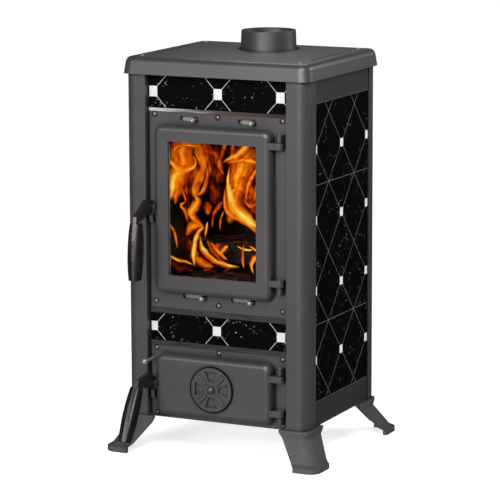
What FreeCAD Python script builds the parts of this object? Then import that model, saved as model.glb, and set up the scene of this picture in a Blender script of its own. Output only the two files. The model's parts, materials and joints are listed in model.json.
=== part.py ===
import FreeCAD, Part
import math
import os
import re
import Sketcher

# Free-standing cast-iron wood stove with tiled sides, a glazed fire door above an ash door,
# air slides, an air spinner, a shaking grate and a flue collar.
# Millimetres. +X is the stove's right as seen from the front, -Y is the front, +Z is up.
# The origin lies on the floor, at the middle of the stove's outer box.

# Driving sizes
SIZES = {
    # Carcass
    "body_width": 429.0,
    "body_depth": 371.0,
    "leg_height": 80.5,
    "carcass_height": 777.2,
    "front_face_y": -134.15,
    "base_sheet": 4.0,
    # Corner posts, bent from sheet
    "post_sheet": 3.0,
    "post_return": 14.0,
    "post_side": 48.0,
    "rear_post_side": 39.0,
    "rear_post_face": 48.5,
    "post_bend": 22.0,
    "post_edge": 1.0,
    "post_tab": 38.0,
    # Top plate
    "top_overhang": 7.5,
    "lip_flare": 7.5,
    "lip_gap": 0.5,
    "top_thickness": 8.0,
    "lip_drop": 28.7,
    "top_corner": 24.0,
    "top_edge": 14.0,
    "vent_slot_length": 170.0,
    "vent_slot_width": 6.0,
    "vent_slot_inset": 29.0,
    "vent_slot_setback": 87.0,
    "top_screw_inset": 28.0,
    "top_screw_front": 28.0,
    "top_screw_rear": 35.0,
    # Flue collar
    "flue_rear_gap": 100.0,
    "flue_rise": 40.7,
    "flue_radius": 60.0,
    "flue_draft": 1.6,
    "flue_bore": 56.0,
    "flue_flange": 6.0,
    "flue_hole_gap": 6.0,
    "bolt_room": 0.6,
    "outlet_room": 1.0,
    # Side panels
    "tile_thickness": 7.0,
    "side_rail_height": 55.6,
    "side_tile_low": 167.1,
    "side_tile_middle": 301.4,
    "side_tile_high": 172.3,
    "side_grille_height": 66.0,
    "side_tuck": 3.0,
    "side_rear_gap": 0.5,
    "backing_sheet": 2.0,
    "tray_sheet": 2.0,
    "rear_sheet": 2.0,
    "rear_top_gap": 6.0,
    "rear_screw_inset": 30.0,
    "rear_screw_reach": 12.0,
    # Firebox shell
    "shell_room": 2.0,
    "shell_sheet": 4.0,
    "shell_rear_room": 18.0,
    "shell_top_gap": 38.0,
    "roof_overhang": 8.0,
    # Front facing: plates, tiles and trims stacked from the base upwards
    "facing": 6.0,
    "facing_setback": 16.0,
    "facing_gap": 2.0,
    "ash_plate_height": 156.3,
    "ash_plate_drop": 4.0,
    "lower_trim": 10.9,
    "lower_tile_height": 60.7,
    "middle_trim": 11.4,
    "fire_plate_height": 429.8,
    "upper_trim": 7.0,
    "upper_tile_height": 81.0,
    "trim_proud": 1.5,
    "screw_inset": 13.0,
    "fire_screw_top": 7.1,
    "fire_screw_bottom": 15.0,
    "ash_screw_top": 6.5,
    "ash_screw_bottom": 4.6,
    # Screws and bolts
    "screw_shank": 2.5,
    "screw_head": 4.6,
    "screw_dome": 2.6,
    "bolt_shank": 4.0,
    "bolt_head": 7.5,
    "bolt_head_height": 5.0,
    "hole_play": 0.15,
    # Doors
    "door_width": 275.6,
    "door_shift": -4.5,
    "door_side_room": 28.2,
    "door_proud": 27.0,
    "door_gap": 1.0,
    "door_face": 7.0,
    "door_rim": 8.0,
    "door_corner": 18.0,
    "door_edge": 12.0,
    "seal_size": 9.0,
    "seal_ledge": 16.0,
    "seal_gap": 0.3,
    "seal_round": 4.0,
    "seal_play": 0.5,
    "mouth_inset": 22.0,
    "fire_door_lift": 37.8,
    "fire_door_height": 365.6,
    "ash_door_lift": 6.9,
    "ash_door_height": 135.6,
    # Door glass
    "window_side": 33.8,
    "window_head": 34.4,
    "window_shift": 1.7,
    "window_lift": 39.9,
    "glass_margin": 7.0,
    "glass_thickness": 4.0,
    "gasket_thickness": 2.0,
    "clip_width": 22.0,
    "clip_sheet": 2.0,
    "clip_reach": 8.0,
    "clip_inset": 46.0,
    "clip_margin": 1.0,
    "clip_screw": 1.6,
    # Hinges
    "hinge_reach": 17.2,
    "hinge_depth": 14.0,
    "hinge_pin": 3.2,
    "hinge_play": 0.08,
    "press_play": 0.03,
    "hinge_gap": 0.4,
    "lug_height": 14.0,
    "lug_radius": 10.0,
    "knuckle_width": 12.0,
    "knuckle_height": 16.0,
    "pin_stand": 1.5,
    "fire_lug_low": 33.0,
    "fire_lug_high": 25.0,
    "ash_lug_low": 20.0,
    "ash_lug_high": 25.9,
    # Door handles
    "handle_depth": 20.0,
    "fire_handle_lift": 186.2,
    "ash_handle_lift": 67.7,
    "ash_handle_tilt": 25.0,
    "boss_length": 6.2,
    "boss_radius": 10.0,
    "boss_tip": 8.0,
    "lever_thickness": 10.0,
    "lever_play": 0.3,
    "lever_back": 7.0,
    "lever_back_rise": 13.0,
    "lever_crest": 23.0,
    "lever_crest_rise": 18.0,
    "lever_knee": 72.0,
    "lever_knee_drop": 12.0,
    "lever_crook": 62.0,
    "lever_crook_drop": 26.0,
    "lever_under": 5.0,
    "lever_under_drop": 14.0,
    "spine_front": 82.0,
    "spine_shoulder": 62.0,
    "spine_tip": 150.0,
    "spine_end": 12.0,
    "spine_depth": 25.0,
    "spine_bow": 2.0,
    "pivot_bevel": 2.0,
    "lever_edge": 1.5,
    "grip_bulge": 12.0,
    "grip_depth": 16.0,
    "grip_swell": 88.0,
    "grip_half_length": 61.0,
    "grip_middle": 88.0,
    "grip_axis": 69.0,
    "grip_lean": 4.0,
    "keeper_width": 9.0,
    "keeper_reach": 14.0,
    "keeper_height": 17.0,
    "keeper_drop": 17.0,
    # Air slides in the fire plate
    "slot_height": 12.0,
    "upper_slot_length": 43.0,
    "upper_slot_spacing": 137.8,
    "upper_slot_drop": 14.2,
    "lower_slot_length": 58.0,
    "lower_slot_spacing": 114.6,
    "lower_slot_rise": 29.9,
    "slide_height": 18.0,
    "slide_play": 0.3,
    "slide_end": 14.0,
    "slide_pin": 4.0,
    "slide_stop": 0.5,
    "slide_knob": 5.5,
    "slide_reach": 14.0,
    "strap_width": 12.0,
    "strap_sheet": 2.0,
    "strap_lap": 8.0,
    # Air spinner in the ash door
    "spinner_radius": 48.0,
    "spinner_thickness": 4.0,
    "spinner_gap": 0.3,
    "spinner_rim": 9.0,
    "spinner_hub": 17.0,
    "spinner_window_inner": 6.0,
    "spinner_window_outer": 15.0,
    "spinner_rib": 6.0,
    "spinner_rib_rise": 4.0,
    "spinner_knob": 9.0,
    "vent_hole": 9.0,
    "vent_circle": 28.0,
    # Firebox furniture
    "brick_thickness": 28.0,
    "brick_height": 310.0,
    "brick_gap": 0.5,
    "baffle_thickness": 18.0,
    "baffle_depth": 205.0,
    "grate_z": 313.5,
    "grate_thickness": 12.0,
    "grate_gap": 0.5,
    "grate_hole_width": 160.0,
    "grate_hole_depth": 190.0,
    "grate_setback": 60.0,
    "ledge_width": 18.0,
    "ledge_height": 18.0,
    "runner_inner": 88.0,
    "runner_lap": 6.0,
    "shaker_thickness": 8.0,
    "shaker_depth": 230.0,
    "shaker_slot": 12.0,
    "shaker_slot_pitch": 24.0,
    "shaker_slot_length": 140.0,
    "shaker_side_gap": 11.0,
    "shaker_lead": 20.0,
    "shaker_z": 208.4,
    "shaker_rod": 3.0,
    "shaker_reach": 50.0,
    "shaker_knob": 6.2,
    "shaker_arm": 8.0,
    "shaker_arm_setback": 110.0,
    "shaker_drop": 24.0,
    "shelf_sheet": 3.0,
    "pan_play": 0.4,
    "pan_side_gap": 7.0,
    "pan_height": 80.0,
    "pan_sheet": 2.0,
    "pan_front_gap": 12.0,
    "pan_rear_gap": 18.0,
    # Cast legs
    "leg_wall": 9.0,
    "leg_corner": 22.0,
    "leg_toe_corner": 25.0,
    "leg_top_out": 5.0,
    "leg_top_width": 69.0,
    "leg_brow": 9.0,
    "leg_neck_out": 3.0,
    "leg_neck_width": 59.0,
    "leg_neck_drop": 17.0,
    "leg_ankle_out": 32.0,
    "leg_ankle_width": 54.0,
    "leg_toe_height": 14.0,
    "leg_toe_step": 3.0,
    "leg_toe_out": 41.0,
    "leg_toe_width": 56.0,
    "leg_side_more": 12.0,
    "leg_flange": 8.0,
    "leg_flange_width": 49.0,
    "leg_bolt_inset": 36.0,
}

# Places worked out from the driving sizes
PLACES = {
    "half_width": "body_width / 2",
    "rear_face_y": "front_face_y + body_depth",
    "body_top_z": "leg_height + carcass_height",
    "base_top_z": "leg_height + base_sheet",
    "opening_half": "door_width / 2 + door_side_room",
    "shell_half": "opening_half + shell_room",
    "facing_half": "opening_half - facing_gap",
    "plate_front_y": "front_face_y + facing_setback",
    "plate_back_y": "plate_front_y + facing",
    "shell_front_y": "plate_back_y + shell_sheet",
    "shell_outer": "shell_half + shell_sheet",
    "shell_top_z": "body_top_z - shell_top_gap",
    "shell_roof_z": "shell_top_z - shell_sheet",
    "ash_plate_top_z": "leg_height + ash_plate_height",
    "lower_tile_z": "ash_plate_top_z + lower_trim",
    "lower_tile_top_z": "lower_tile_z + lower_tile_height",
    "fire_plate_z": "lower_tile_top_z + middle_trim",
    "fire_plate_top_z": "fire_plate_z + fire_plate_height",
    "upper_tile_z": "fire_plate_top_z + upper_trim",
    "upper_tile_top_z": "upper_tile_z + upper_tile_height",
    "side_face": "half_width - post_sheet",
    "side_back": "side_face - tile_thickness",
    "side_front_y": "front_face_y + post_side - side_tuck",
    "side_rear_y": "rear_face_y - rear_post_side - side_rear_gap",
    "side_tile_z": "leg_height + side_rail_height",
    "side_joint_z": "side_tile_z + side_tile_low",
    "side_upper_z": "side_joint_z + side_tile_middle",
    "side_grille_z": "side_upper_z + side_tile_high",
    "rear_inner_y": "rear_face_y - post_sheet",
    "shell_back_y": "rear_inner_y - rear_sheet - shell_rear_room - shell_sheet",
    "rear_post_inner": "half_width - rear_post_face",
    "top_z": "body_top_z + top_thickness",
    "lip_z": "body_top_z - lip_drop",
    "top_half": "half_width + top_overhang",
    "top_front_y": "front_face_y - top_overhang",
    "top_rear_y": "rear_face_y + top_overhang",
    "top_screw_x": "half_width - top_screw_inset",
    "vent_slot_x": "half_width - vent_slot_inset",
    "flue_y": "rear_face_y - flue_rear_gap",
    "flue_top_z": "top_z + flue_rise",
    "flue_base": "flue_radius + flue_draft",
    "flue_bolt_circle": "flue_base + bolt_head + bolt_room",
    "flue_flange_radius": "flue_bolt_circle + bolt_head + bolt_room",
    "door_left_x": "door_shift - door_width / 2",
    "door_right_x": "door_shift + door_width / 2",
    "door_front_y": "plate_front_y - door_proud",
    "door_rim_y": "plate_front_y - door_gap",
    "door_face_y": "door_front_y + door_face",
    "seal_back_y": "plate_front_y - seal_gap",
    "seal_floor_y": "seal_back_y - seal_size",
    "pocket_inset": "door_rim + seal_ledge",
    "fire_door_z": "fire_plate_z + fire_door_lift",
    "fire_door_top_z": "fire_door_z + fire_door_height",
    "ash_door_z": "leg_height + ash_door_lift",
    "ash_door_top_z": "ash_door_z + ash_door_height",
    "window_x": "door_shift + window_shift",
    "window_width": "door_width - 2 * window_side",
    "window_z": "fire_door_z + window_lift",
    "window_top_z": "fire_door_top_z - window_head",
    "glass_y": "door_face_y + gasket_thickness",
    "glass_back_y": "glass_y + glass_thickness",
    "hinge_x": "door_right_x + hinge_reach",
    "hinge_y": "plate_front_y - hinge_depth",
    "handle_y": "plate_front_y - handle_depth",
    "fire_handle_z": "fire_door_z + fire_handle_lift",
    "ash_handle_z": "ash_door_z + ash_handle_lift",
    "lever_x": "door_left_x - boss_length - lever_play",
    "lever_outer_x": "lever_x - lever_thickness",
    "slide_front_y": "plate_back_y + slide_play",
    "slide_back_y": "shell_front_y - slide_play",
    "slot_radius": "slot_height / 2",
    "spinner_x": "door_shift",
    "spinner_z": "ash_door_z + ash_door_height / 2",
    "spinner_back_y": "door_front_y - spinner_gap",
    "spinner_front_y": "spinner_back_y - spinner_thickness",
    "grate_top_z": "grate_z + grate_thickness",
    "brick_top_z": "grate_top_z + brick_height",
    "ledge_z": "grate_z - ledge_height",
    "runner_half": "runner_inner + runner_lap",
    "shaker_top_z": "grate_z - grate_gap",
    "shaker_bottom_z": "shaker_top_z - shaker_thickness",
    "shaker_front_y": "shell_front_y + grate_setback - shaker_lead",
    "shaker_x": "shaker_side_gap - opening_half",
    "shelf_z": "ash_door_z + mouth_inset",
}

doc = FreeCAD.newDocument("WoodStove")
sizes = doc.addObject("Spreadsheet::Sheet", "Sizes")
places = doc.addObject("Spreadsheet::Sheet", "Places")


def spelled(words, own=()):
    """Write an expression of plain size names as paths to their sheet cells."""
    def path(match):
        name = match.group(0)
        if name in own:
            return name
        if name in SIZES:
            return "Sizes." + name
        return "Places." + name if name in PLACES else name
    return re.sub(r"[a-z_]+", path, words)


for row, (alias, value) in enumerate(SIZES.items(), start=1):
    sizes.set(f"A{row}", alias)
    sizes.set(f"B{row}", str(value))
    sizes.setAlias(f"B{row}", alias)
doc.recompute()
for row, (alias, formula) in enumerate(PLACES.items(), start=1):
    places.set(f"A{row}", alias)
    places.set(f"B{row}", "=" + spelled(formula, own=PLACES))
    places.setAlias(f"B{row}", alias)
doc.recompute()


class Numbers:
    """The sheets' values as numbers, read by name."""

    def __getattr__(self, name):
        return float((sizes if name in SIZES else places).get(name))


of = Numbers()
X_AXIS = FreeCAD.Vector(1, 0, 0)
Y_AXIS = FreeCAD.Vector(0, 1, 0)
Z_AXIS = FreeCAD.Vector(0, 0, 1)
TURNS = {
    "X": FreeCAD.Rotation(Y_AXIS, 90),
    "Y": FreeCAD.Rotation(X_AXIS, -90),
    "Z": FreeCAD.Rotation(),
}
PAST = 1.0  # how far a cutter runs past the face that it opens
pieces = []


def tie(item, **expressions):
    """Bind an object's properties to size expressions."""
    for prop, words in expressions.items():
        item.setExpression(prop, spelled(words))
    return item


def put(item, x="0", y="0", z="0"):
    """Bind an object's place to size expressions."""
    for axis, words in (("x", x), ("y", y), ("z", z)):
        item.setExpression(f"Placement.Base.{axis}", spelled(words))
    return item


def named(label, item):
    """Keep an object as a finished piece under its own name."""
    item.Label = label
    pieces.append(item)
    return item


def block(x, y, z):
    """A box between a low and a high expression along each axis."""
    item = doc.addObject("Part::Box", "Block")
    tie(item, Length=f"({x[1]}) - ({x[0]})", Width=f"({y[1]}) - ({y[0]})", Height=f"({z[1]}) - ({z[0]})")
    return put(item, x[0], y[0], z[0])


def rod(axis, start, radius, length):
    """A round bar from its start point along one axis."""
    item = doc.addObject("Part::Cylinder", "Rod")
    item.Placement = FreeCAD.Placement(FreeCAD.Vector(), TURNS[axis])
    tie(item, Radius=radius, Height=length)
    return put(item, *start)


def taper(axis, start, radius, end_radius, length):
    """A round bar that narrows from its start along one axis."""
    item = doc.addObject("Part::Cone", "Taper")
    item.Placement = FreeCAD.Placement(FreeCAD.Vector(), TURNS[axis])
    tie(item, Radius1=radius, Radius2=end_radius, Height=length)
    return put(item, *start)


def ball(centre, radius):
    """A sphere about its centre."""
    return put(tie(doc.addObject("Part::Sphere", "Ball"), Radius=radius), *centre)


def joined(*parts):
    """Several shapes fused into one."""
    item = doc.addObject("Part::MultiFuse", "Joined")
    item.Shapes = list(parts)
    item.Refine = True
    return item


def together(*parts):
    """Several solids kept apart in one group."""
    item = doc.addObject("Part::Compound", "Group")
    item.Links = list(parts)
    return item


def cut(base, *cutters):
    """A shape with cutters taken out of it."""
    item = doc.addObject("Part::Cut", "Cut")
    item.Base = base
    item.Tool = cutters[0] if len(cutters) == 1 else joined(*cutters)
    item.Refine = True
    return item


def common(first, second):
    """What two shapes share."""
    item = doc.addObject("Part::Common", "Shared")
    item.Base = first
    item.Tool = second
    return item


def rounded(base, *rules):
    """Round edges: each rule is a test on an edge's ends and a radius."""
    doc.recompute()
    edges = []
    for number, edge in enumerate(base.Shape.Edges, start=1):
        ends = [vertex.Point for vertex in edge.Vertexes]
        radius = next((size for test, size in rules if len(ends) == 2 and test(*ends)), None)
        if radius:
            edges.append((number, radius, radius))
    item = doc.addObject("Part::Fillet", "Rounded")
    item.Base = base
    item.Edges = edges
    return item


def along(axis):
    """A test for straight edges that run along one axis."""
    others = [name for name in "xyz" if name != axis]
    return lambda a, b: all(abs(getattr(a, n) - getattr(b, n)) < 1e-6 for n in others)


def level(axis, height):
    """A test for edges that lie at one height along an axis."""
    return lambda a, b: all(abs(getattr(end, axis) - height) < 1e-6 for end in (a, b))


def both(first, second):
    """A test that holds where two tests hold."""
    return lambda a, b: first(a, b) and second(a, b)


def shape(solid):
    """A document object that holds a shape made in code."""
    item = doc.addObject("Part::Feature", "Shape")
    item.Shape = solid
    return item


def screw(point, axis, length):
    """A dome-head screw whose head stands on a point and faces along an axis."""
    head = of.screw_head
    dome = of.screw_dome
    cap_radius = (head ** 2 + dome ** 2) / (2 * dome)
    cap = Part.makeSphere(cap_radius, FreeCAD.Vector(0, 0, dome - cap_radius))
    cap = cap.common(Part.makeCylinder(head, dome))
    solid = cap.fuse(Part.makeCylinder(of.screw_shank, length, FreeCAD.Vector(0, 0, -length)))
    solid = solid.removeSplitter()
    solid.Placement = FreeCAD.Placement(point, FreeCAD.Rotation(Z_AXIS, axis))
    return solid


def bolt(point, axis, length):
    """A hex bolt whose head stands on a point and faces along an axis."""
    corners = [FreeCAD.Vector(of.bolt_head * math.cos(math.radians(60 * step)),
                              of.bolt_head * math.sin(math.radians(60 * step)), 0) for step in range(7)]
    head = Part.Face(Part.makePolygon(corners)).extrude(FreeCAD.Vector(0, 0, of.bolt_head_height))
    solid = head.fuse(Part.makeCylinder(of.bolt_shank, length, FreeCAD.Vector(0, 0, -length)))
    solid = solid.removeSplitter()
    solid.Placement = FreeCAD.Placement(point, FreeCAD.Rotation(Z_AXIS, axis))
    return solid


def bores(points, axis, radius, length):
    """Cutters for a set of round holes from points along an axis."""
    return shape(Part.makeCompound([Part.makeCylinder(radius, length, point, axis) for point in points]))


def sketch_on(body, plane, offset="0"):
    """A sketch on one of a body's own origin planes."""
    sketch = body.newObject("Sketcher::SketchObject", "Sketch")
    support = next(item for item in body.Origin.OriginFeatures if item.Role == plane)
    sketch.AttachmentSupport = [(support, "")]
    sketch.MapMode = "FlatFace"
    sketch.setExpression("AttachmentOffset.Base.z", spelled(offset))
    return sketch


def outline(sketch, points):
    """Close straight lines through points, each a pair of size expressions."""
    count = len(points)
    start = [FreeCAD.Vector(math.cos(2 * math.pi * i / count), math.sin(2 * math.pi * i / count), 0)
             for i in range(count)]
    for i in range(count):
        sketch.addGeometry(Part.LineSegment(start[i], start[(i + 1) % count]))
    for i, (across, up) in enumerate(points):
        sketch.addConstraint(Sketcher.Constraint("Coincident", i, 2, (i + 1) % count, 1))
        for kind, words in (("DistanceX", across), ("DistanceY", up)):
            rule = sketch.addConstraint(Sketcher.Constraint(kind, -1, 1, i, 1, 1.0))
            sketch.setExpression(f"Constraints[{rule}]", spelled(words))
    return sketch


def pad(body, sketch, length):
    """Raise a sketch by a length along its plane's normal."""
    item = body.newObject("PartDesign::Pad", "Pad")
    item.Profile = sketch
    item.setExpression("Length", spelled(length))
    return item


def soften(body, base, test, radius):
    """Round a body's edges that pass a test."""
    doc.recompute()
    names = []
    for number, edge in enumerate(base.Shape.Edges, start=1):
        ends = [vertex.Point for vertex in edge.Vertexes]
        if len(ends) == 2 and test(*ends):
            names.append(f"Edge{number}")
    item = body.newObject("PartDesign::Fillet", "Soft")
    item.Base = (base, names)
    item.setExpression("Radius", spelled(radius))
    return item


def near(x, y):
    """A test for upright edges that stand at one spot."""
    return lambda a, b: all(math.hypot(end.x - x, end.y - y) < 1e-6 for end in (a, b))


SIDES = {"left": -1, "right": 1}


def span(side, low, high):
    """A run across X from the inside outwards, on the stove's left or right."""
    return (low, high) if side > 0 else (f"-({high})", f"-({low})")


def slot(x, y, z, height):
    """A cutter for a slot with round ends that lies along X."""
    middle = f"({z})"
    low_end = f"({x[0]}) + ({height}) / 2"
    high_end = f"({x[1]}) - ({height}) / 2"
    depth = f"({y[1]}) - ({y[0]})"
    straight = block((low_end, high_end), y, (f"{middle} - ({height}) / 2", f"{middle} + ({height}) / 2"))
    return joined(straight, rod("Y", (low_end, y[0], z), f"({height}) / 2", depth),
                  rod("Y", (high_end, y[0], z), f"({height}) / 2", depth))


def corner_posts():
    """Four bent-sheet corner posts with a tab inside the top for the top plate's screw."""
    for side_name, side in SIDES.items():
        for end, face, inward, flange, free in (
                ("front", "front_face_y", "+", "post_side", "opening_half"),
                ("rear", "rear_face_y", "-", "rear_post_side", "rear_post_inner")):
            body = doc.addObject("PartDesign::Body", "Post")
            sign = "" if side > 0 else "-"
            outer = f"{sign}half_width"
            skin = f"{sign}(half_width - post_sheet)"
            inner = f"{sign}{free}"
            wall = f"{face} {inward} post_sheet"
            edge = f"{face} {inward} {flange}"
            lap = f"{sign}(opening_half + post_sheet)"
            fold = f"{face} {inward} post_return"
            inside = [(lap, wall), (lap, fold), (inner, fold)] if end == "front" else [(inner, wall)]
            outside = [(inner, face), (outer, face), (outer, edge), (skin, edge), (skin, wall)]
            angle = outline(sketch_on(body, "XY_Plane", "leg_height"), outside + inside)
            sheet = pad(body, angle, "carcass_height")
            face_y = getattr(of, face)
            inset = of.post_sheet if end == "front" else -of.post_sheet
            bend = soften(body, sheet, near(side * of.half_width, face_y), "post_bend")
            bend = soften(body, bend, near(side * of.side_face, face_y + inset), "post_bend - post_sheet")
            bend = soften(body, bend, near(side * getattr(of, free), face_y), "post_edge")
            tab = outline(sketch_on(body, "XY_Plane", "body_top_z - post_sheet"),
                          [(inner, wall), (f"{sign}(side_face - post_bend)", wall),
                           (skin, f"{wall} {inward} post_bend"), (skin, f"{face} {inward} post_tab"),
                           (inner, f"{face} {inward} post_tab")])
            body.Tip = pad(body, tab, "post_sheet")
            depth = of.top_screw_front if end == "front" else -of.top_screw_rear
            hole = bores([FreeCAD.Vector(side * of.top_screw_x, face_y + depth, of.body_top_z - of.post_tab)],
                         Z_AXIS, of.screw_shank + of.hole_play, 2 * of.post_tab)
            drills = [hole, rear_holes()] if end == "rear" else [hole]
            named(f"post_{end}_{side_name}", cut(body, *drills))


def top_screw_points():
    """Where the four screws stand on the top plate."""
    return [FreeCAD.Vector(side * of.top_screw_x, y, of.top_z) for side in SIDES.values()
            for y in (of.front_face_y + of.top_screw_front, of.rear_face_y - of.top_screw_rear)]


def rear_screw_points():
    """Where the four screws hold the rear panel to the rear posts."""
    x = of.rear_post_inner + of.rear_screw_reach
    levels = (of.leg_height + of.rear_screw_inset, of.body_top_z - of.lip_drop - of.rear_screw_inset)
    return [FreeCAD.Vector(side * x, of.rear_face_y, z) for side in SIDES.values() for z in levels]


def top_plate():
    """Cast top plate with a downturned lip, a flue hole and two vent slots."""
    crown = doc.addObject("PartDesign::Body", "Crown")
    rim = outline(sketch_on(crown, "XY_Plane", "lip_z"),
                  [("-top_half", "top_front_y"), ("top_half", "top_front_y"), ("top_half", "top_rear_y"),
                   ("-top_half", "top_rear_y")])
    wall = pad(crown, rim, "top_z - lip_z")
    wall.setExpression("TaperAngle", spelled("-lip_flare"))
    flare = soften(crown, wall, lambda a, b: abs(a.z - b.z) > of.top_thickness, "top_corner")
    crown.Tip = soften(crown, flare, level("z", of.top_z), "top_edge")
    hollow = block(("-half_width - lip_gap", "half_width + lip_gap"),
                   ("front_face_y - lip_gap", "rear_face_y + lip_gap"), (f"lip_z - {PAST}", "body_top_z"))
    hollow = rounded(hollow, (along("z"), of.post_bend))
    flue_hole = rod("Z", ("0", "flue_y", f"body_top_z - {PAST}"), "flue_base + flue_hole_gap",
                    f"top_thickness + 2 * {PAST}")
    vents = []
    for side in SIDES.values():
        middle = f"{side} * vent_slot_x"
        vents.append(block((f"{middle} - vent_slot_width / 2", f"{middle} + vent_slot_width / 2"),
                           ("front_face_y + vent_slot_setback",
                            "front_face_y + vent_slot_setback + vent_slot_length"),
                           (f"body_top_z - {PAST}", f"top_z + {PAST}")))
    holes = bores(top_screw_points(), -Z_AXIS, of.screw_shank + of.hole_play, 2 * of.top_thickness)
    named("top_plate", cut(crown, hollow, flue_hole, *vents, holes))
    lengths = of.top_thickness + of.post_sheet
    screws = [screw(point, Z_AXIS, lengths) for point in top_screw_points()]
    screws += [screw(point, Y_AXIS, of.post_sheet + of.rear_sheet) for point in rear_screw_points()]
    named("case_screws", shape(Part.makeCompound(screws)))


def flue_bolt_points():
    """Where the bolts stand on the flue collar's flange."""
    return [FreeCAD.Vector(of.flue_bolt_circle * math.cos(math.radians(45 + 90 * step)),
                           of.flue_y + of.flue_bolt_circle * math.sin(math.radians(45 + 90 * step)),
                           of.shell_top_z + of.flue_flange) for step in range(4)]


def flue_collar():
    """Flue collar turned with a bolted flange, standing on the firebox roof."""
    body = doc.addObject("PartDesign::Body", "Collar")
    profile = outline(sketch_on(body, "XZ_Plane"), [
        ("flue_bore", "shell_top_z"), ("flue_flange_radius", "shell_top_z"),
        ("flue_flange_radius", "shell_top_z + flue_flange"), ("flue_base", "shell_top_z + flue_flange"),
        ("flue_base", "top_z"), ("flue_radius", "flue_top_z"), ("flue_bore", "flue_top_z")])
    ring = body.newObject("PartDesign::Revolution", "Ring")
    ring.Profile = profile
    ring.ReferenceAxis = (profile, ["V_Axis"])
    ring.Angle = 360
    put(body, "0", "flue_y", "0")
    holes = bores([point - of.flue_flange * 2 * Z_AXIS for point in flue_bolt_points()], Z_AXIS,
                  of.bolt_shank + of.hole_play, 4 * of.flue_flange)
    named("flue_collar", cut(body, holes))


def leg_bolt_points():
    """Where the bolts stand under the legs' flanges."""
    reach = of.half_width - of.leg_bolt_inset
    rows = (of.front_face_y + of.leg_bolt_inset, of.rear_face_y - of.leg_bolt_inset)
    return [FreeCAD.Vector(side * reach, y, of.leg_height - of.leg_flange)
            for side in SIDES.values() for y in rows]


def bolts():
    """Hex bolts that hold the legs to the base and the collar to the firebox roof."""
    solids = [bolt(point, -Z_AXIS, of.leg_flange + of.base_sheet) for point in leg_bolt_points()]
    solids += [bolt(point, Z_AXIS, of.flue_flange + of.shell_sheet) for point in flue_bolt_points()]
    named("frame_bolts", shape(Part.makeCompound(solids)))


def base():
    """Flat base plate that carries the firebox, with the legs bolted under it."""
    plate = block(("-side_back", "side_back"), ("shell_front_y", "rear_inner_y"),
                  ("leg_height", "base_top_z"))
    plate = rounded(plate, (both(along("z"), level("y", of.rear_inner_y)), of.post_bend))
    named("base_plate", cut(plate, bores(leg_bolt_points(), Z_AXIS, of.bolt_shank + of.hole_play,
                                         2 * of.leg_height)))


def leg_section(out, width, turn, height):
    """One level of a leg: an angle with a round corner, longer along the side, for the front right."""
    wall = of.leg_wall
    side = width + of.leg_side_more
    x = of.half_width + out
    y = of.front_face_y - out
    bend = math.sqrt(0.5)
    inner = turn - wall
    spots = [FreeCAD.Vector(*spot, height) for spot in (
        (x - width, y), (x - turn, y), (x - turn + turn * bend, y + turn - turn * bend), (x, y + turn),
        (x, y + side), (x - wall, y + side), (x - wall, y + turn),
        (x - turn + inner * bend, y + turn - inner * bend), (x - turn, y + wall), (x - width, y + wall))]
    edges = [Part.makeLine(spots[0], spots[1]), Part.Arc(*spots[1:4]).toShape(),
             Part.makeLine(spots[3], spots[4]), Part.makeLine(spots[4], spots[5]),
             Part.makeLine(spots[5], spots[6]), Part.Arc(*spots[6:9]).toShape(),
             Part.makeLine(spots[8], spots[9]), Part.makeLine(spots[9], spots[0])]
    return Part.Wire(edges)


def legs():
    """Four cast legs: an angle that splays out to a toe, with a flange inside the top."""
    levels = [
        (of.leg_toe_out, of.leg_toe_width, of.leg_toe_corner, 0.0),
        (of.leg_toe_out, of.leg_toe_width, of.leg_toe_corner, of.leg_toe_height - of.leg_toe_step),
        (of.leg_ankle_out, of.leg_ankle_width, of.leg_toe_corner, of.leg_toe_height + of.leg_toe_step),
        (of.leg_neck_out, of.leg_neck_width, of.leg_corner, of.leg_height - of.leg_neck_drop),
        (of.leg_top_out, of.leg_top_width, of.leg_corner, of.leg_height - of.leg_brow / 2),
        (of.leg_top_out, of.leg_top_width, of.leg_corner, of.leg_height),
    ]
    shell = Part.makeLoft([leg_section(*spot) for spot in levels], True, True)
    corner = FreeCAD.Vector(of.half_width - of.leg_flange_width, of.front_face_y,
                            of.leg_height - of.leg_flange)
    flange = Part.makeBox(of.leg_flange_width, of.leg_flange_width, of.leg_flange, corner)
    hole = Part.makeCylinder(of.bolt_shank + of.hole_play, of.leg_height,
                             FreeCAD.Vector(of.half_width - of.leg_bolt_inset,
                                            of.front_face_y + of.leg_bolt_inset, 0))
    leg = shell.fuse(flange).removeSplitter().cut(hole)
    middle = FreeCAD.Vector(0, (of.front_face_y + of.rear_face_y) / 2, 0)
    for end, depth in (("front", 1), ("rear", -1)):
        for side_name, side in SIDES.items():
            copy = leg if side > 0 else leg.mirror(FreeCAD.Vector(), X_AXIS)
            copy = copy if depth > 0 else copy.mirror(middle, Y_AXIS)
            named(f"leg_{end}_{side_name}", shape(copy))


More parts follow.
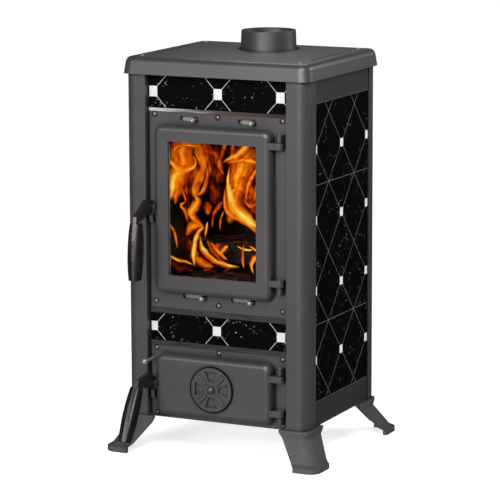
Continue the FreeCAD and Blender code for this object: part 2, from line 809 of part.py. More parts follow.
def side_panels():
    """On each side a rail, three tiles, a vent sheet under the lip and a backing sheet."""
    rails, grilles, backings = [], [], []
    run = ("side_front_y", "side_rear_y")
    for side_name, side in SIDES.items():
        across = span(side, "side_back", "side_face")
        inside = span(side, f"side_back - {PAST}", "side_face - tray_sheet")
        for trays, low, high in ((rails, "leg_height", "side_tile_z"),
                                 (grilles, "side_grille_z", "side_grille_z + side_grille_height")):
            hollow = block(inside, ("side_front_y + tray_sheet", "side_rear_y - tray_sheet"),
                           (f"{low} + tray_sheet", f"{high} - tray_sheet"))
            trays.append(cut(block(across, run, (low, high)), hollow))
        backings.append(block(span(side, "side_back - backing_sheet", "side_back"),
                              ("plate_back_y", "rear_face_y - post_bend"),
                              ("base_top_z", "body_top_z - post_sheet")))
        rows = ("side_tile_z", "side_joint_z", "side_upper_z", "side_grille_z")
        tiles = [block(across, run, (low, high)) for low, high in zip(rows, rows[1:])]
        named(f"side_tiles_{side_name}", together(*tiles))
    named("side_rails", together(*rails))
    named("side_grilles", together(*grilles))
    named("side_backings", together(*backings))


def rear_panel():
    """Sheet that closes the back, screwed to the rear posts."""
    sheet = block(("-(side_face - post_bend)", "side_face - post_bend"),
                  ("rear_inner_y - rear_sheet", "rear_inner_y"), ("base_top_z", "body_top_z - rear_top_gap"))
    named("rear_panel", cut(sheet, rear_holes()))


def rear_holes():
    """Cutters for the rear panel's screws."""
    return bores(rear_screw_points(), -Y_AXIS, of.screw_shank + of.hole_play, 4 * of.post_sheet)


def front_screw_points():
    """Where the screws stand on the fire plate and on the ash plate."""
    x = of.facing_half - of.screw_inset
    rows = [(of.fire_plate_top_z - of.fire_screw_top, (-x, 0, x)),
            (of.fire_plate_z + of.fire_screw_bottom, (-x, 0, x)),
            (of.ash_plate_top_z - of.ash_screw_top, (-x, 0, x)),
            (of.leg_height + of.ash_screw_bottom, (-x, x))]
    return [FreeCAD.Vector(spot, of.plate_front_y, z) for z, row in rows for spot in row]


def front_screws():
    """Dome-head screws that hold the two cast plates to the firebox front."""
    solids = [screw(point, -Y_AXIS, of.facing + of.shell_sheet) for point in front_screw_points()]
    named("front_screws", shape(Part.makeCompound(solids)))


def front_holes():
    """Cutters for the front screws."""
    return bores(front_screw_points(), Y_AXIS, of.screw_shank + of.hole_play, of.facing + 2 * of.shell_sheet)


def mouth(low, high, y):
    """A cutter for the opening behind a door."""
    return block(("door_left_x + mouth_inset", "door_right_x - mouth_inset"), y,
                 (f"{low} + mouth_inset", f"{high} - mouth_inset"))


# Each air slide: slot length, spacing of its two slots, and height of their middle
AIR_SLIDES = {
    "upper": ("upper_slot_length", "upper_slot_spacing", "fire_plate_top_z - upper_slot_drop"),
    "lower": ("lower_slot_length", "lower_slot_spacing", "fire_plate_z + lower_slot_rise"),
}


def slide_reach(length, spacing):
    """Half the width of an air slide's plate."""
    return f"(({spacing}) + ({length})) / 2 + slide_end"


def slide_travel(length):
    """How far an air slide moves."""
    return f"(({length}) - slot_height - 2 * slide_stop)"


def firebox_shell():
    """Welded firebox: front sheet with the mouths, two walls, back, roof and ash shelf."""
    front = block(("-shell_outer", "shell_outer"), ("plate_back_y", "shell_front_y"),
                  ("leg_height", "shell_roof_z"))
    through = (f"plate_back_y - {PAST}", f"shell_front_y + {PAST}")
    cutters = [mouth("fire_door_z", "fire_door_top_z", through),
               mouth("ash_door_z", "ash_door_top_z", through),
               front_holes(),
               rod("Y", ("shaker_x", f"plate_back_y - {PAST}", "shaker_z"), "shaker_rod + hinge_play",
                   f"shell_sheet + 2 * {PAST}")]
    straps = []
    for length, spacing, height in AIR_SLIDES.values():
        half = f"{slide_reach(length, spacing)} + slide_play"
        rows = (f"{height} - slide_height / 2 - slide_play", f"{height} + slide_height / 2 + slide_play")
        cutters.append(block((f"-({half}) - {slide_travel(length)}", half), through, rows))
        for middle in (f"-({half}) + strap_width", f"({half}) - 2 * strap_width - {slide_travel(length)}"):
            straps.append(block((middle, f"({middle}) + strap_width"),
                                ("shell_front_y", "shell_front_y + strap_sheet"),
                                (f"{rows[0]} - strap_lap", f"{rows[1]} + strap_lap")))
    named("shell_front", joined(cut(front, *cutters), *straps))
    for side_name, side in SIDES.items():
        named(f"shell_{side_name}", block(span(side, "shell_half", "shell_outer"),
                                          ("shell_front_y", "shell_back_y"), ("base_top_z", "shell_roof_z")))
    named("shell_back", block(("-shell_outer", "shell_outer"), ("shell_back_y", "shell_back_y + shell_sheet"),
                              ("base_top_z", "shell_roof_z")))
    roof = block(("-shell_outer", "shell_outer"),
                 ("plate_back_y", "shell_back_y + shell_sheet + roof_overhang"),
                 ("shell_roof_z", "shell_top_z"))
    outlet = rod("Z", ("0", "flue_y", f"shell_roof_z - {PAST}"), "flue_bore + outlet_room",
                 f"shell_sheet + 2 * {PAST}")
    holes = bores([point - 4 * of.flue_flange * Z_AXIS for point in flue_bolt_points()], Z_AXIS,
                  of.bolt_shank + of.hole_play, 8 * of.flue_flange)
    named("shell_roof", cut(roof, outlet, holes))
    named("ash_shelf", block(("-shell_half", "shell_half"), ("shell_front_y", "shell_back_y"),
                             ("shelf_z - shelf_sheet", "shelf_z")))


def facing_run(low, high, proud="0"):
    """A strip of the front facing between two heights."""
    return block(("-facing_half", "facing_half"), (f"plate_front_y - {proud}", "plate_back_y"), (low, high))


def front_facing():
    """Tiles and metal trims of the front, stacked between the corner posts."""
    named("front_tile_upper", facing_run("upper_tile_z", "upper_tile_top_z"))
    named("front_tile_lower", facing_run("lower_tile_z", "lower_tile_top_z"))
    named("front_trims", together(facing_run("fire_plate_top_z", "upper_tile_z", "trim_proud"),
                                  facing_run("lower_tile_top_z", "fire_plate_z", "trim_proud"),
                                  facing_run("ash_plate_top_z", "lower_tile_z", "trim_proud")))


def knuckle(z):
    """A hinge knuckle that stands out of a plate, from its lower end."""
    root = block(("hinge_x - knuckle_width / 2", "hinge_x + knuckle_width / 2"), ("hinge_y", "plate_front_y"),
                 (z, f"{z} + knuckle_height"))
    return joined(root, rod("Z", ("hinge_x", "hinge_y", z), "knuckle_width / 2", "knuckle_height"))


# Each door: heights of its lower and upper hinge lugs
LUGS = {
    "fire": ("fire_door_z + fire_lug_low", "fire_door_top_z - fire_lug_high - lug_height"),
    "ash": ("ash_door_z + ash_lug_low", "ash_door_top_z - ash_lug_high - lug_height"),
}


def knuckle_levels(door):
    """The lower ends of a door's two knuckles: below its lower lug and above its upper lug."""
    low, high = LUGS[door]
    return f"{low} - hinge_gap - knuckle_height", f"{high} + lug_height + hinge_gap"


def cast_plate(door, low, high, cutters):
    """A cast front plate with the door's mouth, screw holes and hinge knuckles."""
    through = (f"plate_front_y - {PAST}", f"plate_back_y + {PAST}")
    plate = cut(facing_run(low, high), mouth(f"{door}_door_z", f"{door}_door_top_z", through), front_holes(),
                *cutters)
    levels = knuckle_levels(door)
    hole = "hinge_pin + press_play"
    drills = [rod("Z", ("hinge_x", "hinge_y", f"{level} - {PAST}"), hole, f"knuckle_height + 2 * {PAST}")
              for level in levels]
    return named(f"{door}_plate", cut(joined(plate, *[knuckle(level) for level in levels]), *drills))


def front_plates():
    """The fire plate with its four air slots, and the ash plate with the shaker's hole."""
    through = (f"plate_front_y - {PAST}", f"plate_back_y + {PAST}")
    slots = []
    for length, spacing, height in AIR_SLIDES.values():
        for side in SIDES.values():
            middle = f"{side} * {spacing} / 2"
            slots.append(slot((f"{middle} - {length} / 2", f"{middle} + {length} / 2"), through, height,
                              "slot_height"))
    cast_plate("fire", "fire_plate_z", "fire_plate_top_z", slots)
    shaker_hole = rod("Y", ("shaker_x", through[0], "shaker_z"), "shaker_rod + slide_play",
                      f"facing + 2 * {PAST}")
    cast_plate("ash", "leg_height - ash_plate_drop", "ash_plate_top_z", [shaker_hole])


def hinge_pins():
    """Four upright pins: each stands in a plate's knuckle and carries a door's lug."""
    pins = []
    for door in LUGS:
        low, high = knuckle_levels(door)
        length = "knuckle_height + hinge_gap + lug_height + pin_stand"
        pins.append(rod("Z", ("hinge_x", "hinge_y", low), "hinge_pin", length))
        pins.append(rod("Z", ("hinge_x", "hinge_y", f"{high} - hinge_gap - lug_height - pin_stand"),
                        "hinge_pin", f"{length} + pin_stand"))
    named("hinge_pins", together(*pins))


def latch_keepers():
    """Keepers on the plates, just under the handles' eyes."""
    keepers = []
    for height in ("fire_handle_z", "ash_handle_z"):
        keepers.append(block(("lever_outer_x", "lever_outer_x + keeper_width"),
                             ("plate_front_y - keeper_reach", "plate_front_y"),
                             (f"{height} - keeper_drop - keeper_height", f"{height} - keeper_drop")))
    named("latch_keepers", together(*keepers))


def door_casting(door, cutters):
    """A dished door with a rounded rim, a seal channel, hinge lugs and a handle boss."""
    low, high = f"{door}_door_z", f"{door}_door_top_z"
    slab = block(("door_left_x", "door_right_x"), ("door_front_y", "door_rim_y"), (low, high))
    slab = rounded(slab, (along("y"), of.door_corner), (level("y", of.door_front_y), of.door_edge))
    parts = [slab]
    drills = []
    for level_z in LUGS[door]:
        parts.append(block(("door_right_x - door_edge", "hinge_x"),
                           ("hinge_y - lug_radius", "hinge_y + lug_radius"),
                           (level_z, f"{level_z} + lug_height")))
        parts.append(rod("Z", ("hinge_x", "hinge_y", level_z), "lug_radius", "lug_height"))
        drills.append(rod("Z", ("hinge_x", "hinge_y", f"{level_z} - {PAST}"), "hinge_pin + hinge_play",
                          f"lug_height + 2 * {PAST}"))
    handle_z = f"{door}_handle_z"
    parts.append(taper("X", ("door_left_x - boss_length", "handle_y", handle_z), "boss_tip", "boss_radius",
                       "boss_length + door_rim / 2"))
    drills.append(rod("X", (f"door_left_x - boss_length - {PAST}", "handle_y", handle_z),
                      "bolt_shank + press_play", f"boss_length + 2 * door_rim + {PAST}"))
    channel = inset_block("door_rim", low, high, ("seal_floor_y", f"door_rim_y + {PAST}"))
    pocket = inset_block("pocket_inset", low, high, ("door_face_y", f"door_rim_y + {PAST}"))
    return named(f"{door}_door", cut(joined(*parts), channel, pocket, *drills, *cutters))


def inset_block(inset, low, high, y):
    """A block inside a door's outline by an even margin."""
    return block((f"door_left_x + {inset}", f"door_right_x - {inset}"), y,
                 (f"{low} + {inset}", f"{high} - {inset}"))


def door_seal(door):
    """A rope seal that lies in a door's channel and meets the plate."""
    body = doc.addObject("PartDesign::Body", "Seal")
    low, high = f"{door}_door_z", f"{door}_door_top_z"
    sketch = sketch_on(body, "XZ_Plane", "-seal_back_y")
    margin = "door_rim + seal_play"
    outline(sketch, [(f"door_left_x + {margin}", f"{low} + {margin}"),
                     (f"door_right_x - ({margin})", f"{low} + {margin}"),
                     (f"door_right_x - ({margin})", f"{high} - ({margin})"),
                     (f"door_left_x + {margin}", f"{high} - ({margin})")])
    ring = pad(body, sketch, "seal_size")
    doc.recompute()
    hole = inset_block(f"({margin} + seal_size)", low, high,
                       (f"seal_floor_y - {PAST}", f"seal_back_y + {PAST}"))
    frame = cut(body, hole)
    faces = (of.seal_floor_y, of.seal_back_y)
    rules = [(level("y", face), of.seal_round) for face in faces]
    return named(f"{door}_door_seal", rounded(frame, *rules))


def clip_points():
    """Where the glass clips' screws stand on the fire door's ledge."""
    reach = of.pocket_inset - of.clip_screw - of.clip_margin
    inset = of.pocket_inset + of.clip_inset
    rows = (of.fire_door_z + inset, of.fire_door_top_z - inset)
    return [(side, FreeCAD.Vector(x, of.seal_floor_y, z)) for z in rows
            for side, x in ((1, of.door_left_x + reach), (-1, of.door_right_x - reach))]


def fire_door():
    """Cast fire door with its window, glass, gasket, clips and rope seal."""
    window = block(("window_x - window_width / 2", "window_x + window_width / 2"),
                   (f"door_front_y - {PAST}", f"door_face_y + {PAST}"), ("window_z", "window_top_z"))
    spots = [point for side, point in clip_points()]
    clip_holes = bores(spots, -Y_AXIS, of.clip_screw + of.press_play, of.door_face)
    door_casting("fire", [window, clip_holes])
    pane_x = ("window_x - window_width / 2 - glass_margin", "window_x + window_width / 2 + glass_margin")
    pane_z = ("window_z - glass_margin", "window_top_z + glass_margin")
    named("door_glass", block(pane_x, ("glass_y", "glass_back_y"), pane_z))
    gasket = block(pane_x, ("door_face_y", "glass_y"), pane_z)
    gap = block(("window_x - window_width / 2", "window_x + window_width / 2"),
                (f"door_face_y - {PAST}", f"glass_y + {PAST}"), ("window_z", "window_top_z"))
    named("glass_gasket", cut(gasket, gap))
    door_seal("fire")
    solids = []
    for side, point in clip_points():
        edge = of.pocket_inset - 2 * (of.clip_screw + of.clip_margin)
        ledge_x = (of.door_left_x + edge) if side > 0 else (of.door_right_x - edge)
        reach = of.pocket_inset - edge + of.clip_reach
        low = point.z - of.clip_width / 2
        strap = Part.makeBox(reach, of.clip_sheet, of.clip_width,
                             FreeCAD.Vector(ledge_x if side > 0 else ledge_x - reach, of.seal_floor_y, low))
        foot_x = ledge_x + (reach - of.clip_sheet if side > 0 else -reach)
        foot = Part.makeBox(of.clip_sheet, of.seal_floor_y - of.glass_back_y + of.clip_sheet, of.clip_width,
                            FreeCAD.Vector(foot_x, of.glass_back_y, low))
        hole = Part.makeCylinder(of.clip_screw + of.press_play, 4 * of.clip_sheet,
                                 point - 2 * of.clip_sheet * Y_AXIS, Y_AXIS)
        solids.append(strap.fuse(foot).removeSplitter().cut(hole))
        shank = Part.makeCylinder(of.clip_screw, of.door_face, point + of.clip_sheet * Y_AXIS, -Y_AXIS)
        head = Part.makeCylinder(2 * of.clip_screw, of.clip_screw, point + of.clip_sheet * Y_AXIS, Y_AXIS)
        solids.append(shank.fuse(head).removeSplitter())
    named("glass_clips", shape(Part.makeCompound(solids)))


def ash_door():
    """Cast ash door with round air holes behind the spinner, and its rope seal."""
    spots = []
    for step in range(4):
        angle = math.radians(45 + 90 * step)
        spots.append(FreeCAD.Vector(of.spinner_x + of.vent_circle * math.cos(angle), of.door_front_y - PAST,
                                    of.spinner_z + of.vent_circle * math.sin(angle)))
    vents = bores(spots, Y_AXIS, of.vent_hole, of.door_face + 2 * PAST)
    centre = rod("Y", ("spinner_x", f"door_front_y - {PAST}", "spinner_z"), "bolt_shank + press_play",
                 f"door_face + 2 * {PAST}")
    door_casting("ash", [vents, centre])
    door_seal("ash")


def air_spinner():
    """Turning air disc with four windows and four finger ribs, on a bolt through the ash door."""
    body = doc.addObject("PartDesign::Body", "Spinner")
    disc = body.newObject("PartDesign::AdditiveCylinder", "Disc")
    disc.Placement = FreeCAD.Placement(FreeCAD.Vector(), FreeCAD.Rotation(X_AXIS, 90))
    tie(disc, Radius="spinner_radius", Height="spinner_thickness")
    window = sketch_on(body, "XZ_Plane", f"spinner_thickness + {PAST}")
    outline(window, [("-spinner_window_inner", "spinner_hub"), ("spinner_window_inner", "spinner_hub"),
                     ("spinner_window_outer", "spinner_radius - spinner_rim"),
                     ("-spinner_window_outer", "spinner_radius - spinner_rim")])
    opening = body.newObject("PartDesign::Pocket", "Window")
    opening.Profile = window
    opening.setExpression("Length", spelled(f"spinner_thickness + 2 * {PAST}"))
    rib_sketch = sketch_on(body, "XZ_Plane", "spinner_thickness")
    corner = "spinner_rib / 2 * sqrt(0.5)"
    near_end = "spinner_hub * sqrt(0.5)"
    far_end = "(spinner_radius - spinner_rim / 2) * sqrt(0.5)"
    outline(rib_sketch, [(f"{near_end} + {corner}", f"{near_end} - {corner}"),
                         (f"{far_end} + {corner}", f"{far_end} - {corner}"),
                         (f"{far_end} - {corner}", f"{far_end} + {corner}"),
                         (f"{near_end} - {corner}", f"{near_end} + {corner}")])
    rib = pad(body, rib_sketch, "spinner_rib_rise")
    quarters = body.newObject("PartDesign::PolarPattern", "Quarters")
    quarters.Originals = [opening, rib]
    quarters.Axis = (window, ["N_Axis"])
    quarters.Angle = 360
    quarters.Occurrences = 4
    body.Tip = quarters
    put(body, "spinner_x", "spinner_back_y", "spinner_z")
    hole = rod("Y", ("spinner_x", f"spinner_front_y - {PAST}", "spinner_z"), "bolt_shank + hinge_play",
               f"spinner_thickness + 2 * {PAST}")
    named("air_spinner", cut(body, hole))
    start = FreeCAD.Vector(of.spinner_x, of.spinner_front_y - of.spinner_gap, of.spinner_z)
    knob = of.spinner_knob
    dome = Part.makeSphere(knob).common(Part.makeCylinder(knob, knob))
    stem = of.spinner_gap + of.spinner_thickness + of.spinner_gap + of.door_face
    stud = dome.fuse(Part.makeCylinder(of.bolt_shank, stem, FreeCAD.Vector(0, 0, -stem))).removeSplitter()
    stud.Placement = FreeCAD.Placement(start, FreeCAD.Rotation(Z_AXIS, -Y_AXIS))
    named("spinner_bolt", shape(stud))


def handle(door, tilt):
    """A door's lever with a hanging grip, on a bolt through the door's boss."""
    turn = FreeCAD.Rotation(X_AXIS, -tilt)
    spot = ("lever_x", "handle_y", f"{door}_handle_z")
    body = doc.addObject("PartDesign::Body", "Lever")
    profile = outline(sketch_on(body, "YZ_Plane", "-lever_thickness"), [
        ("lever_back", "lever_back_rise"), ("-lever_crest", "lever_crest_rise"),
        ("-lever_knee", "-lever_knee_drop"), ("-spine_front + spine_bow", "-spine_shoulder"),
        ("-spine_front", "-(spine_shoulder + spine_tip) / 2"), ("-spine_front + spine_bow / 2", "-spine_tip"),
        ("-spine_front + spine_end", "-spine_tip"),
        ("-spine_front + spine_depth + spine_bow", "-(spine_shoulder + spine_tip) / 2"),
        ("-spine_front + spine_depth + spine_bow", "-spine_shoulder"), ("-lever_crook", "-lever_crook_drop"),
        ("-lever_under", "-lever_under_drop"), ("lever_back", "-lever_under_drop / 2")])
    bar = pad(body, profile, "lever_thickness")
    faces = (0.0, -of.lever_thickness)
    body.Tip = soften(body, bar, lambda a, b: any(level("x", face)(a, b) for face in faces), "lever_edge")
    body.Placement = FreeCAD.Placement(FreeCAD.Vector(), turn)
    put(body, *spot)
    eye = rod("X", (f"lever_outer_x - {PAST}", "handle_y", f"{door}_handle_z"), "bolt_shank + hinge_play",
              f"lever_thickness + 2 * {PAST}")
    named(f"{door}_handle_lever", cut(body, eye))
    scales = []
    for start, reach in (("0", "grip_bulge"), ("-lever_thickness - grip_bulge", "-lever_thickness")):
        swell = doc.addObject("Part::Ellipsoid", "Swell")
        lean = FreeCAD.Rotation(X_AXIS, -of.grip_lean)
        swell.Placement = FreeCAD.Placement(FreeCAD.Vector(), lean)
        tie(swell, Radius1="grip_swell", Radius2="grip_bulge", Radius3="grip_depth")
        put(swell, "0" if reach == "grip_bulge" else "-lever_thickness", "-grip_axis", "-grip_middle")
        slab = block((start, reach), ("-grip_axis - 2 * grip_depth", "-grip_axis + 2 * grip_depth"),
                     ("-grip_middle - grip_half_length", "-grip_middle + grip_half_length"))
        scales.append(common(swell, slab))
    grip = together(*scales)
    grip.Placement = FreeCAD.Placement(FreeCAD.Vector(), turn)
    named(f"{door}_handle_grip", put(grip, *spot))
    start_x = "lever_outer_x - lever_play"
    shank = rod("X", (start_x, "handle_y", f"{door}_handle_z"), "bolt_shank",
                "lever_thickness + 2 * lever_play + boss_length + door_rim")
    head = taper("X", (f"{start_x} - bolt_head_height", "handle_y", f"{door}_handle_z"),
                 "bolt_head - pivot_bevel", "bolt_head", "bolt_head_height")
    named(f"{door}_handle_pivot", joined(shank, head))


def air_slides():
    """Sliding air plates behind the fire plate, each with two knobs through its slots."""
    for name, (length, spacing, height) in AIR_SLIDES.items():
        half = slide_reach(length, spacing)
        rows = (f"{height} - slide_height / 2", f"{height} + slide_height / 2")
        depth = ("slide_front_y", "slide_back_y")
        plate = block((f"-({half})", half), depth, rows)
        ports = []
        knobs = []
        for side in SIDES.values():
            end = f"{side} * {spacing} / 2 + {length} / 2"
            pin_x = f"{end} - slot_radius - slide_stop"
            if side < 0:
                ports.append(block((f"{end} + slide_stop", f"{end} + slide_stop + {slide_travel(length)}"),
                                   (f"slide_front_y - {PAST}", f"slide_back_y + {PAST}"),
                                   (f"{height} - slot_radius / 2", f"{height} + slot_radius / 2")))
            knobs.append(rod("Y", (pin_x, "plate_front_y - slide_reach", height), "slide_pin",
                             "slide_reach + facing + 2 * slide_play"))
            knobs.append(ball((pin_x, "plate_front_y - slide_reach", height), "slide_knob"))
        if name == "upper":
            clear = "screw_shank + slide_stop"
            ports.append(block((f"-({clear})", f"{slide_travel(length)} + {clear}"),
                               (f"slide_front_y - {PAST}", f"slide_back_y + {PAST}"),
                               (f"fire_plate_top_z - fire_screw_top - ({clear})", f"{rows[1]} + {PAST}")))
        named(f"{name}_air_slide", joined(cut(plate, *ports), *knobs))


def firebox_lining():
    """Firebricks, a baffle over them, and the fixed grate on its ledges."""
    rows = ("grate_top_z", "brick_top_z")
    for side_name, side in SIDES.items():
        across = span(side, "shell_half - brick_thickness", "shell_half - brick_gap")
        depth = ("shell_front_y + brick_gap", "shell_back_y - brick_thickness - brick_gap")
        named(f"firebrick_{side_name}", block(across, depth, rows))
    named("firebrick_back", block(("-shell_half + brick_gap", "shell_half - brick_gap"),
                                  ("shell_back_y - brick_thickness", "shell_back_y - brick_gap"), rows))
    named("baffle_plate", block(("-shell_half + brick_gap", "shell_half - brick_gap"),
                                ("shell_back_y - baffle_depth", "shell_back_y - brick_gap"),
                                ("brick_top_z", "brick_top_z + baffle_thickness")))
    frame = block(("-shell_half + grate_gap", "shell_half - grate_gap"),
                  ("shell_front_y + grate_gap", "shell_back_y - grate_gap"), ("grate_z", "grate_top_z"))
    hole = block(("-grate_hole_width / 2", "grate_hole_width / 2"),
                 ("shell_front_y + grate_setback", "shell_front_y + grate_setback + grate_hole_depth"),
                 (f"grate_z - {PAST}", f"grate_top_z + {PAST}"))
    named("grate_frame", cut(frame, hole))
    ledges = []
    for side in SIDES.values():
        depth = ("shell_front_y", "shell_back_y")
        shoulder = block(span(side, "shell_half - ledge_width", "shell_half"), depth, ("ledge_z", "grate_z"))
        runner = block(span(side, "runner_inner", "shell_half - ledge_width"), depth,
                       ("ledge_z", "shaker_bottom_z - slide_play"))
        ledges.append(joined(shoulder, runner))
    named("grate_ledges", together(*ledges))


def grate_shaker():
    """Slotted grate that slides on its runners, worked by a rod with a ball knob."""
    front = "shaker_front_y"
    plate = block(("-runner_half", "runner_half"), (front, f"{front} + shaker_depth"),
                  ("shaker_bottom_z", "shaker_top_z"))
    count = int((of.shaker_depth - of.shaker_slot_pitch) // of.shaker_slot_pitch)
    slots = []
    for step in range(count):
        low = f"{front} + shaker_slot_pitch * {step + 1} - shaker_slot / 2"
        slots.append(block(("-shaker_slot_length / 2", "shaker_slot_length / 2"),
                           (low, f"{low} + shaker_slot"),
                           (f"shaker_bottom_z - {PAST}", f"shaker_top_z + {PAST}")))
    named("shaker_grate", cut(plate, *slots))
    arm_y = ("shell_front_y + shaker_arm_setback - shaker_arm / 2",
             "shell_front_y + shaker_arm_setback + shaker_arm / 2")
    bar_z = ("shaker_bottom_z - shaker_drop - shaker_arm", "shaker_bottom_z - shaker_drop")
    bar = rod("Y", ("shaker_x", "plate_front_y - shaker_reach", "shaker_z"), "shaker_rod",
              "shaker_reach + facing + shell_sheet + shaker_arm_setback")
    knob = ball(("shaker_x", "plate_front_y - shaker_reach", "shaker_z"), "shaker_knob")
    post = block(("shaker_x - shaker_arm / 2", "shaker_x + shaker_arm / 2"), arm_y,
                 ("shaker_z - shaker_arm / 2", bar_z[1]))
    beam = block(("shaker_x - shaker_arm / 2", "-runner_inner + 2 * shaker_arm"), arm_y, bar_z)
    stub = block(("-runner_inner + shaker_arm", "-runner_inner + 2 * shaker_arm"), arm_y,
                 (bar_z[0], "shaker_bottom_z"))
    named("shaker_rod", joined(bar, knob, post, beam, stub))


def ash_pan():
    """Open ash pan, welded from a floor and four walls, that stands on the ash shelf."""
    half = "(door_width / 2 - mouth_inset - pan_side_gap)"
    left, right = f"door_shift - {half}", f"door_shift + {half}"
    front, back = "shell_front_y + pan_front_gap", "shell_back_y - pan_rear_gap"
    bottom = "shelf_z + pan_play"
    walls = (f"{bottom} + pan_sheet", f"{bottom} + pan_height")
    between = (f"{front} + pan_sheet", f"{back} - pan_sheet")
    named("ash_pan", together(block((left, right), (front, back), (bottom, f"{bottom} + pan_sheet")),
                              block((left, right), (front, f"{front} + pan_sheet"), walls),
                              block((left, right), (f"{back} - pan_sheet", back), walls),
                              block((left, f"{left} + pan_sheet"), between, walls),
                              block((f"{right} - pan_sheet", right), between, walls)))


def build():
    """Make every piece of the stove."""
    base()
    legs()
    bolts()
    corner_posts()
    side_panels()
    rear_panel()
    firebox_shell()
    front_facing()
    front_plates()
    front_screws()
    hinge_pins()
    latch_keepers()
    top_plate()
    flue_collar()
    firebox_lining()
    ash_pan()
    fire_door()
    ash_door()
    air_spinner()
    handle("fire", 0.0)
    handle("ash", of.ash_handle_tilt)
    air_slides()
    grate_shaker()
    doc.recompute()


def write():
    """Check every object, then write each piece to its own file."""
    failed = [item.Label for item in doc.Objects if {"Invalid", "Error"} & set(item.State)]
    if failed:
        raise RuntimeError(f"objects that failed: {failed}")
    os.makedirs("parts", exist_ok=True)
    for item in pieces:
        if item.Shape.isNull() or not item.Shape.isValid() or not item.Shape.Solids:
            raise RuntimeError(f"no valid solid in {item.Label}")
    for item in pieces:
        item.Shape.exportStep(f"parts/{item.Label}.step")
    box = Part.makeCompound([item.Shape for item in pieces]).BoundBox
    print(f"{len(pieces)} pieces, {sum(len(item.Shape.Solids) for item in pieces)} solids")
    print(f"x {box.XMin:.2f} {box.XMax:.2f}  y {box.YMin:.2f} {box.YMax:.2f}")
    print(f"z {box.ZMin:.2f} {box.ZMax:.2f}")


build()
write()
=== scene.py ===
"""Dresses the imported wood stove: a finish for every casting, sheet and fastener, inlaid tiles, perforated
side sheets, levers with moulded grips, braided seals, a wood fire on the grate, and the studio around it."""

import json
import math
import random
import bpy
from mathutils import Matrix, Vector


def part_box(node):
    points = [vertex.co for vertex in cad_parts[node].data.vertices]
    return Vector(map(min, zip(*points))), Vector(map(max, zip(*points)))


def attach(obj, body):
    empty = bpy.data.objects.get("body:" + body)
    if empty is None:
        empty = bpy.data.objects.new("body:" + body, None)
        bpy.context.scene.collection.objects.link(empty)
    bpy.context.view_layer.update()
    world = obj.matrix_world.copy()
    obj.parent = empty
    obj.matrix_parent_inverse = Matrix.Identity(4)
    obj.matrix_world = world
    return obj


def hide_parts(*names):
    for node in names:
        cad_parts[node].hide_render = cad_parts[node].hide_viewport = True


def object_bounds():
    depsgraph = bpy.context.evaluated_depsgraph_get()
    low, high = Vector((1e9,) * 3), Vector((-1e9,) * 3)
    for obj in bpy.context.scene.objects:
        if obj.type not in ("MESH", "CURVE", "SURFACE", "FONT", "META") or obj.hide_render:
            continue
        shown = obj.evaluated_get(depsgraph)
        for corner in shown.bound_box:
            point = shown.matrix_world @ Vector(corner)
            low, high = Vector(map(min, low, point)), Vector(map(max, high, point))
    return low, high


bl_info = {
    "name": "Tiled wood stove dresser",
    "version": (1, 0, 0),
    "blender": (4, 5, 0),
    "location": "3D View > Sidebar > Stove",
    "description": "Finishes, tile inlays, seals, fire and studio for a cast iron wood stove",
    "category": "Object",
}

from functools import partial

import bmesh
import bpy
from bpy.props import FloatProperty, FloatVectorProperty, IntProperty, PointerProperty
from mathutils import Euler, Vector, noise

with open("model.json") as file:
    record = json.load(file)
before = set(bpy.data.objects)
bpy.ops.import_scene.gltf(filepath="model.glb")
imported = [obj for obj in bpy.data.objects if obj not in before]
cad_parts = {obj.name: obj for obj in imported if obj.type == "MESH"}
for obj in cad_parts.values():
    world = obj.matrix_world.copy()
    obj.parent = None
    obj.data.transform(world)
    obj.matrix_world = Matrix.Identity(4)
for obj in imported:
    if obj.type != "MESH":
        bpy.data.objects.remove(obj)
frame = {"nodes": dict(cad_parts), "record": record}
CAD_LOW, CAD_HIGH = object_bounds()
NODES = frame["nodes"]
OPENINGS = {opening["name"]: opening["box_m"] for opening in frame["record"]["physics"]["openings"]}

MM = 0.001
FRONT = Vector((0, -1, 0))
UP = Vector((0, 0, 1))


def linear(code):
    """Linear red, green and blue of an sRGB hex colour."""
    parts = [int(code[place:place + 2], 16) / 255 for place in (1, 3, 5)]
    return tuple(part / 12.92 if part <= 0.04045 else ((part + 0.055) / 1.055) ** 2.4 for part in parts)


def pitch(size):
    """Texture scale of a pattern whose features are so many millimetres apart."""
    return 1 / (size * MM)


# Settings that a user would change


def colour(name, code, description):
    """A colour setting with an sRGB hex default."""
    return FloatVectorProperty(name=name, description=description, subtype="COLOR", size=3, min=0, max=1,
                               default=linear(code))


def length(name, millimetres, description):
    """A length setting with a default in millimetres."""
    return FloatProperty(name=name, description=description, unit="LENGTH", min=0,
                         default=millimetres * MM)


def angle(name, degrees, description):
    """An angle setting with a default in degrees."""
    return FloatProperty(name=name, description=description, subtype="ANGLE", default=math.radians(degrees))


def brightness(name, amount, description):
    """A setting for how strongly something shines."""
    return FloatProperty(name=name, description=description, min=0, default=amount)


class StoveColours(bpy.types.PropertyGroup):
    """Colours of the stove's finishes."""
    paint: colour("Heat paint", "#302d2e", "Satin heat paint on castings and bent sheets")
    leg: colour("Leg iron", "#3e3b3b", "Thin paint on the rough cast legs")
    sheet: colour("Black sheet", "#1c1b1b", "Blackened steel of the inner sheets")
    tile: colour("Tile", "#050505", "Ground colour of the marbled tiles")
    vein: colour("Vein", "#c9c7c4", "Flecks and veins in the tiles")
    inlay: colour("Side inlay", "#dadad7", "Small white tiles let into the black side tiles")
    front_inlay: colour("Front inlay", "#b2b2b0", "Small white tiles of the front strips, dulled by smoke")
    pale_joint: colour("Front joint", "#98989a", "Inlaid lines of the front strips")
    grey_joint: colour("Side joint", "#646468", "Inlaid lines and joints of the side tiles")
    steel: colour("Bright steel", "#8a8786", "Plated knobs, screws and bolts")
    grip: colour("Grip", "#0c0b0c", "Moulded grip scales")


